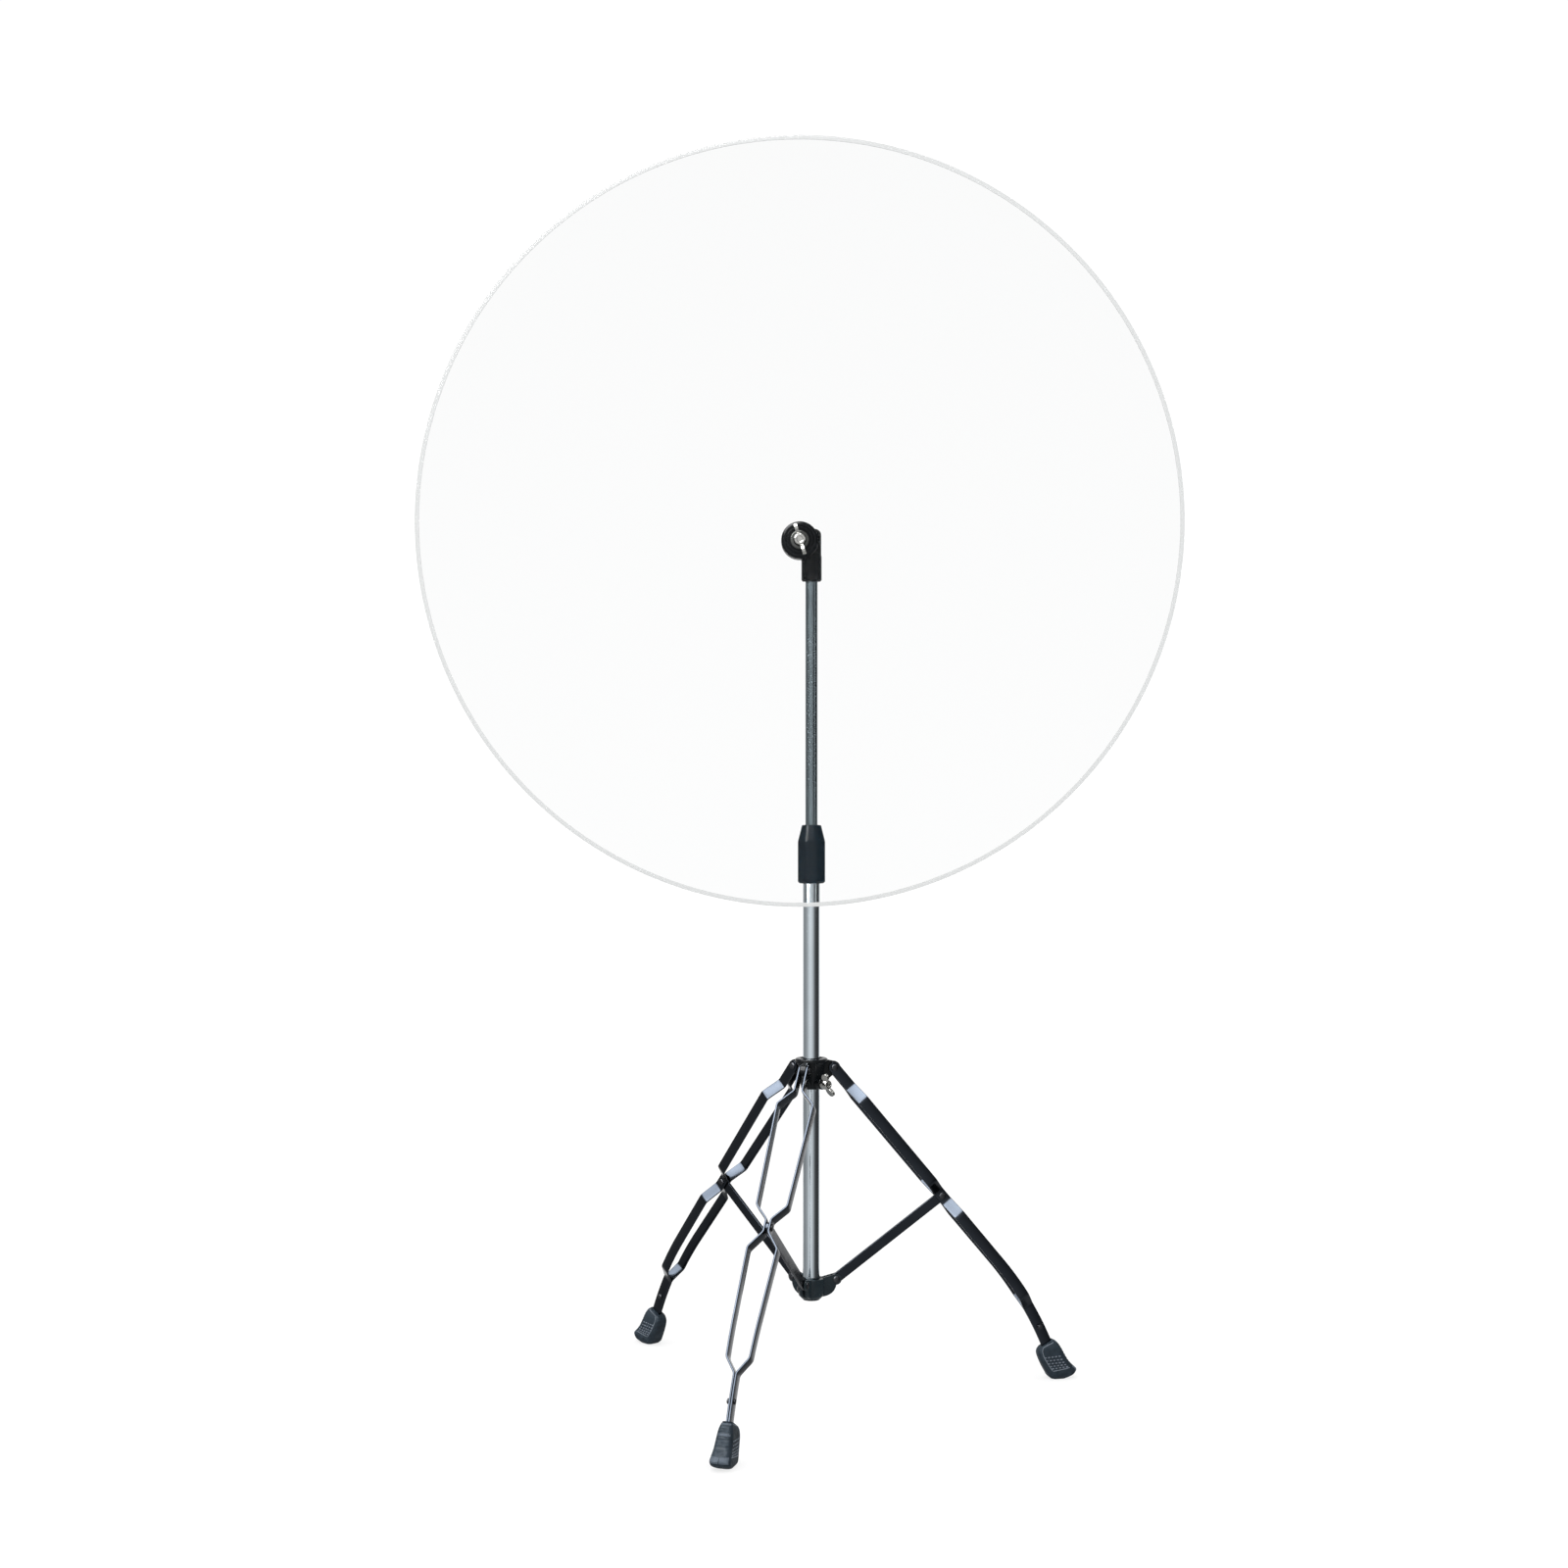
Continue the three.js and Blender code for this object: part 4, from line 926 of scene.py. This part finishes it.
def side_line(sign, course):
    """Raised line on a side face through places given as (share of the half depth, row)."""
    tangent = Vector((0, sign, 0))
    points = []
    for (d0, a0), (d1, a1) in zip(course, course[1:]):
        for step in range(4):
            points.append((d0 + (d1 - d0) * step / 4, a0 + (a1 - a0) * step / 4))
    points.append(course[-1])
    centres = []
    for share, at in points:
        middle, outwards, deep, wide = boot_plane(at)
        centres.append(middle + outwards * deep * share + tangent * (wide - 0.75))
    sections = []
    for i, centre in enumerate(centres):
        before, after = centres[max(i - 1, 0)], centres[min(i + 1, len(centres) - 1)]
        side = (after - before).cross(tangent).normalized()
        sections.append([centre - side * 0.6, centre - side * 0.4 + tangent * 0.6,
                         centre + side * 0.4 + tangent * 0.6, centre + side * 0.6])
    return loft(sections)


def block(centre, a, b, c):
    """Pad with its top face drawn in, spanned by three half axes."""
    verts, faces = [], [(0, 3, 2, 1), (4, 5, 6, 7), (0, 1, 5, 4), (1, 2, 6, 5), (2, 3, 7, 6), (3, 0, 4, 7)]
    for level, draw in ((-1, 1.0), (1, 0.72)):
        for sa, sb in ((-1, -1), (1, -1), (1, 1), (-1, 1)):
            verts.append(tuple(centre + a * sa * draw + b * sb * draw + c * level))
    return verts, faces


def legs():
    """The three legs with their straps, rivets, boots and struts."""
    for side in LEG_ANGLES:
        place = leg_place(side)
        body = f"{side}_leg"
        for word, sign in (("left", 1), ("right", -1)):
            verts, faces = strap(sign)
            piece(f"{side}_strap_{word}", verts, faces, "black_nickel", body, [f"{side}_leg_strap_{word}"],
                  angle=42, place=place)
            mid = head(4.5, 1.6, 4.8, 2.3, 3.0)
            if sign < 0:
                mid = moved(mid, Matrix.Rotation(math.pi, 4, "X"))
            verts, faces = moved(mid, across(*MID_PIVOT))
            piece(f"{side}_mid_rivet_{word}", verts, faces, "zinc_steel", body,
                  [f"{side}_leg_mid_rivet_{word}"], place=place)
        verts, faces = moved(through_rivet(6.5), across(*LEG_PIVOT))
        piece(f"{side}_hub_rivet", verts, faces, "zinc_steel", "leg_hub_body", [f"{side}_leg_hub_rivet"],
              place=place)
        x, z, _ = leg_line(FOOT_SCREW)
        screw = merged(head(3.4, 1.6, 2.95, -6.9, 2.0), hexagon(6.4, -6.15, -2.95))
        verts, faces = moved(screw, across(x, z))
        piece(f"{side}_foot_bolt", verts, faces, "zinc_steel", body, [f"{side}_leg_foot_screw"],
              bevel=0.25, place=place)
        verts, faces = boot()
        piece(f"{side}_boot", verts, faces, "boot_rubber", body, [f"{side}_leg_boot"],
              angle=30, place=place)
        # The dashes and lines take the lighter rubber, a painted highlight.
        verts, faces = boot_marks_painted_highlight()
        piece(f"{side}_boot_marks_painted_highlight", verts, faces, "boot_marks_painted_highlight", body, [],
              angle=30, place=place)
        # The pads take the lighter rubber, a painted highlight.
        verts, faces = boot_bands_painted_highlight()
        piece(f"{side}_boot_bands_painted_highlight", verts, faces, "boot_bands_painted_highlight", body, [],
              angle=50, place=place)
        verts, faces = strut()
        piece(f"{side}_strut_bar", verts, faces, "black_nickel", f"{side}_strut_arm", [f"{side}_strut"],
              bevel=0.5, place=place)
        verts, faces = moved(through_rivet(5), across(*STRUT_PIVOT))
        piece(f"{side}_spider_rivet", verts, faces, "zinc_steel", "root", [f"{side}_strut_rivet"],
              place=place)


# ---- surroundings

# The floor's own light near the stand, where the lamps add to it, and far off, where it meets the white.
# It changes between these distances in metres.
FLOOR_NEAR = 0.735
FLOOR_FAR = 0.785
FLOOR_FADE = (2, 7)
FLOOR_SIZE = 40
FLOOR_HEIGHT = -0.0006


def floor():
    """Pale paper, lit and glowing just enough to stay even with the backdrop."""
    mesh = bpy.data.meshes.new("floor")
    corners = [(-1, -1), (1, -1), (1, 1), (-1, 1)]
    mesh.from_pydata([(x * FLOOR_SIZE, y * FLOOR_SIZE, FLOOR_HEIGHT) for x, y in corners], [], [(0, 1, 2, 3)])
    made, shader = material("floor_paper", (0.3, 0.3, 0.3), 0.9)
    shader.inputs["Specular IOR Level"].default_value = 0
    shader.inputs["Emission Color"].default_value = (1, 1, 1, 1)
    nodes, links = made.node_tree.nodes, made.node_tree.links
    place = nodes.new("ShaderNodeTexCoord")
    reach = nodes.new("ShaderNodeVectorMath")
    reach.operation = "LENGTH"
    glow = nodes.new("ShaderNodeMapRange")
    glow.inputs["From Min"].default_value = FLOOR_FADE[0]
    glow.inputs["From Max"].default_value = FLOOR_FADE[1]
    glow.inputs["To Min"].default_value = FLOOR_NEAR
    glow.inputs["To Max"].default_value = FLOOR_FAR
    links.new(place.outputs["Object"], reach.inputs[0])
    links.new(reach.outputs["Value"], glow.inputs["Value"])
    links.new(glow.outputs["Result"], shader.inputs["Emission Strength"])
    mesh.materials.append(made)
    obj = bpy.data.objects.new("floor", mesh)
    bpy.context.scene.collection.objects.link(obj)
    obj.visible_glossy = False


# Brightness of the studio: round the horizon, in degrees to the right of the photograph's camera as
# seen from above, and by height above and below it. The mask says where the horizon band rules.
STUDIO_ROUND = [
    (-180, 1.15), (-150, 0.9), (-128, 0.42), (-100, 0.35), (-60, 0.53), (-23, 1.05), (0, 1.0), (14, 0.8),
    (30, 0.5), (42, 0.24), (55, 0.1), (74, 0.06), (112, 0.055), (133, 0.8), (148, 1.15), (180, 1.15),
]
STUDIO_UP = [(-1, 0.55), (-0.3, 0.4), (0.3, 0.25), (1, 0.5)]
STUDIO_MASK = [(-1, 0.0), (-0.6, 0.0), (-0.4, 1.0), (0.35, 1.0), (0.55, 0.0), (1, 0.0)]

# The overhead glow: strength, direction, and degrees from its middle where it ends and is full
STUDIO_BOX = 36
STUDIO_BOX_AT = (-0.46, -0.42, 0.78)
STUDIO_BOX_EDGE = (38, 27)

# The white behind the object: brighter at the horizon, even above the angle with this sine (13 degrees)
WHITE_AT_HORIZON = 1.105
WHITE_ABOVE = 1.05
WHITE_FADES_AT = 0.225

PANEL_FACES = 2


def fill_ramp(ramp, stops):
    """Sets a colour ramp to grey levels at the given positions."""
    ramp.elements[0].position = stops[0][0]
    ramp.elements[1].position = stops[-1][0]
    for at, _ in stops[1:-1]:
        ramp.elements.new(at)
    for element, (_, level) in zip(ramp.elements, stops):
        element.color = (level, level, level, 1)


def world():
    """White for the camera and for diffuse light, and a studio with a dark side for the reflections."""
    made = bpy.data.worlds.new("studio")
    bpy.context.scene.world = made
    made.use_nodes = True
    nodes, links = made.node_tree.nodes, made.node_tree.links
    nodes.clear()
    out = nodes.new("ShaderNodeOutputWorld")
    white = nodes.new("ShaderNodeBackground")
    white.inputs["Color"].default_value = (1, 1, 1, 1)
    fade = nodes.new("ShaderNodeMapRange")
    fade.inputs["From Max"].default_value = WHITE_FADES_AT
    fade.inputs["To Min"].default_value = WHITE_AT_HORIZON
    fade.inputs["To Max"].default_value = WHITE_ABOVE
    studio = nodes.new("ShaderNodeBackground")
    place = nodes.new("ShaderNodeTexCoord")
    split = nodes.new("ShaderNodeSeparateXYZ")
    backwards = nodes.new("ShaderNodeMath")
    backwards.operation = "MULTIPLY"
    backwards.inputs[1].default_value = -1
    azimuth = nodes.new("ShaderNodeMath")
    azimuth.operation = "ARCTAN2"
    share = nodes.new("ShaderNodeMapRange")
    share.inputs["From Min"].default_value = -math.pi
    share.inputs["From Max"].default_value = math.pi
    band = nodes.new("ShaderNodeValToRGB")
    fill_ramp(band.color_ramp, [(0.5 + at / 360, level) for at, level in STUDIO_ROUND])
    height = nodes.new("ShaderNodeMapRange")
    height.inputs["From Min"].default_value = -1
    height.inputs["From Max"].default_value = 1
    away = nodes.new("ShaderNodeValToRGB")
    fill_ramp(away.color_ramp, [(0.5 + at / 2, level) for at, level in STUDIO_UP])
    level_mask = nodes.new("ShaderNodeValToRGB")
    fill_ramp(level_mask.color_ramp, [(0.5 + at / 2, level) for at, level in STUDIO_MASK])
    studio_mix = nodes.new("ShaderNodeMix")
    studio_mix.data_type = "RGBA"
    towards = nodes.new("ShaderNodeVectorMath")
    towards.operation = "DOT_PRODUCT"
    towards.inputs[1].default_value = Vector(STUDIO_BOX_AT).normalized()
    glow = nodes.new("ShaderNodeMapRange")
    glow.interpolation_type = "SMOOTHSTEP"
    glow.inputs["From Min"].default_value = math.cos(math.radians(STUDIO_BOX_EDGE[0]))
    glow.inputs["From Max"].default_value = math.cos(math.radians(STUDIO_BOX_EDGE[1]))
    glow.inputs["To Min"].default_value = 1
    glow.inputs["To Max"].default_value = STUDIO_BOX
    links.new(place.outputs["Generated"], towards.inputs[0])
    links.new(towards.outputs["Value"], glow.inputs["Value"])
    links.new(glow.outputs["Result"], studio.inputs["Strength"])
    links.new(place.outputs["Generated"], split.inputs["Vector"])
    links.new(split.outputs["Z"], fade.inputs["Value"])
    links.new(fade.outputs["Result"], white.inputs["Strength"])
    links.new(split.outputs["Y"], backwards.inputs[0])
    links.new(split.outputs["X"], azimuth.inputs[0])
    links.new(backwards.outputs["Value"], azimuth.inputs[1])
    links.new(azimuth.outputs["Value"], share.inputs["Value"])
    links.new(share.outputs["Result"], band.inputs["Fac"])
    links.new(split.outputs["Z"], height.inputs["Value"])
    links.new(height.outputs["Result"], away.inputs["Fac"])
    links.new(height.outputs["Result"], level_mask.inputs["Fac"])
    factor, colour_a, colour_b = (studio_mix.inputs[i] for i in (0, 6, 7))
    links.new(level_mask.outputs["Color"], factor)
    links.new(away.outputs["Color"], colour_a)
    links.new(band.outputs["Color"], colour_b)
    links.new(studio_mix.outputs[2], studio.inputs["Color"])
    path = nodes.new("ShaderNodeLightPath")
    mirrored = nodes.new("ShaderNodeMath")
    mirrored.operation = "SUBTRACT"
    mirrored.use_clamp = True
    links.new(path.outputs["Is Glossy Ray"], mirrored.inputs[0])
    links.new(path.outputs["Is Transmission Ray"], mirrored.inputs[1])
    # Rays that leave through the panel see white. But a mirror ray off a piece behind the panel, which
    # crosses the panel's two faces a second time, still sees the studio.
    crossed = nodes.new("ShaderNodeMath")
    crossed.operation = "GREATER_THAN"
    crossed.inputs[1].default_value = PANEL_FACES + 0.5
    links.new(path.outputs["Transmission Depth"], crossed.inputs[0])
    behind = nodes.new("ShaderNodeMath")
    behind.operation = "MULTIPLY_ADD"
    behind.use_clamp = True
    links.new(path.outputs["Glossy Depth"], behind.inputs[0])
    links.new(crossed.outputs["Value"], behind.inputs[1])
    links.new(mirrored.outputs["Value"], behind.inputs[2])
    mix = nodes.new("ShaderNodeMixShader")
    links.new(behind.outputs["Value"], mix.inputs["Fac"])
    links.new(white.outputs["Background"], mix.inputs[1])
    links.new(studio.outputs["Background"], mix.inputs[2])
    links.new(mix.outputs["Shader"], out.inputs["Surface"])


def softbox(name, place, target, width, height, power):
    """Rectangular light that faces its target. Sizes in metres, power in watts."""
    light = bpy.data.lights.new(name, "AREA")
    light.shape = "RECTANGLE"
    light.size = width
    light.size_y = height
    light.energy = power
    obj = bpy.data.objects.new(name, light)
    obj.location = place
    obj.rotation_euler = (Vector(target) - Vector(place)).to_track_quat("-Z", "Y").to_euler()
    bpy.context.scene.collection.objects.link(obj)


def lights():
    """Key light from the upper left, and a weak one from the right."""
    softbox("overhead_box", (-1.25, -0.95, 3.0), (0, 0, 0.4), 1.4, 1.4, 12)
    softbox("right_fill", (2.3, -1.0, 1.6), (0, 0, 0.8), 0.4, 1.6, 3)


# The camera fitted to the photograph: its place from the mast axis, its height in metres, its lens
# and sensor in millimetres, and how many degrees it looks down
CAMERA_PLACE = (-0.036, -3.182)
CAMERA_HEIGHT = 0.886
CAMERA_LENS = 55.66
CAMERA_SENSOR = 36
CAMERA_DOWN = 1.5


def camera():
    """The photograph's viewpoint."""
    data = bpy.data.cameras.new("photo")
    data.lens = CAMERA_LENS
    data.sensor_width = CAMERA_SENSOR
    data.clip_end = 200
    obj = bpy.data.objects.new("photo", data)
    obj.location = (AXIS_X + CAMERA_PLACE[0], AXIS_Y + CAMERA_PLACE[1], CAMERA_HEIGHT)
    obj.rotation_euler = (math.radians(90 - CAMERA_DOWN), 0, 0)
    bpy.context.scene.collection.objects.link(obj)
    bpy.context.scene.camera = obj


def carried_over():
    """The CAD nodes that stay shown take the same finishes."""
    for part in frame["record"]["subparts"]:
        node = frame["nodes"].get(part["node"])
        look = SLOT_LOOKS.get(part.get("material_slot"))
        if not node or not look:
            continue
        node.data.materials.clear()
        node.data.materials.append(LOOKS[look])


bpy.context.scene.view_settings.view_transform = "Standard"
camera()
carried_over()
shield()
clutch()
mast()
leg_hub()
lower_hub()
legs()
floor()
world()
lights()
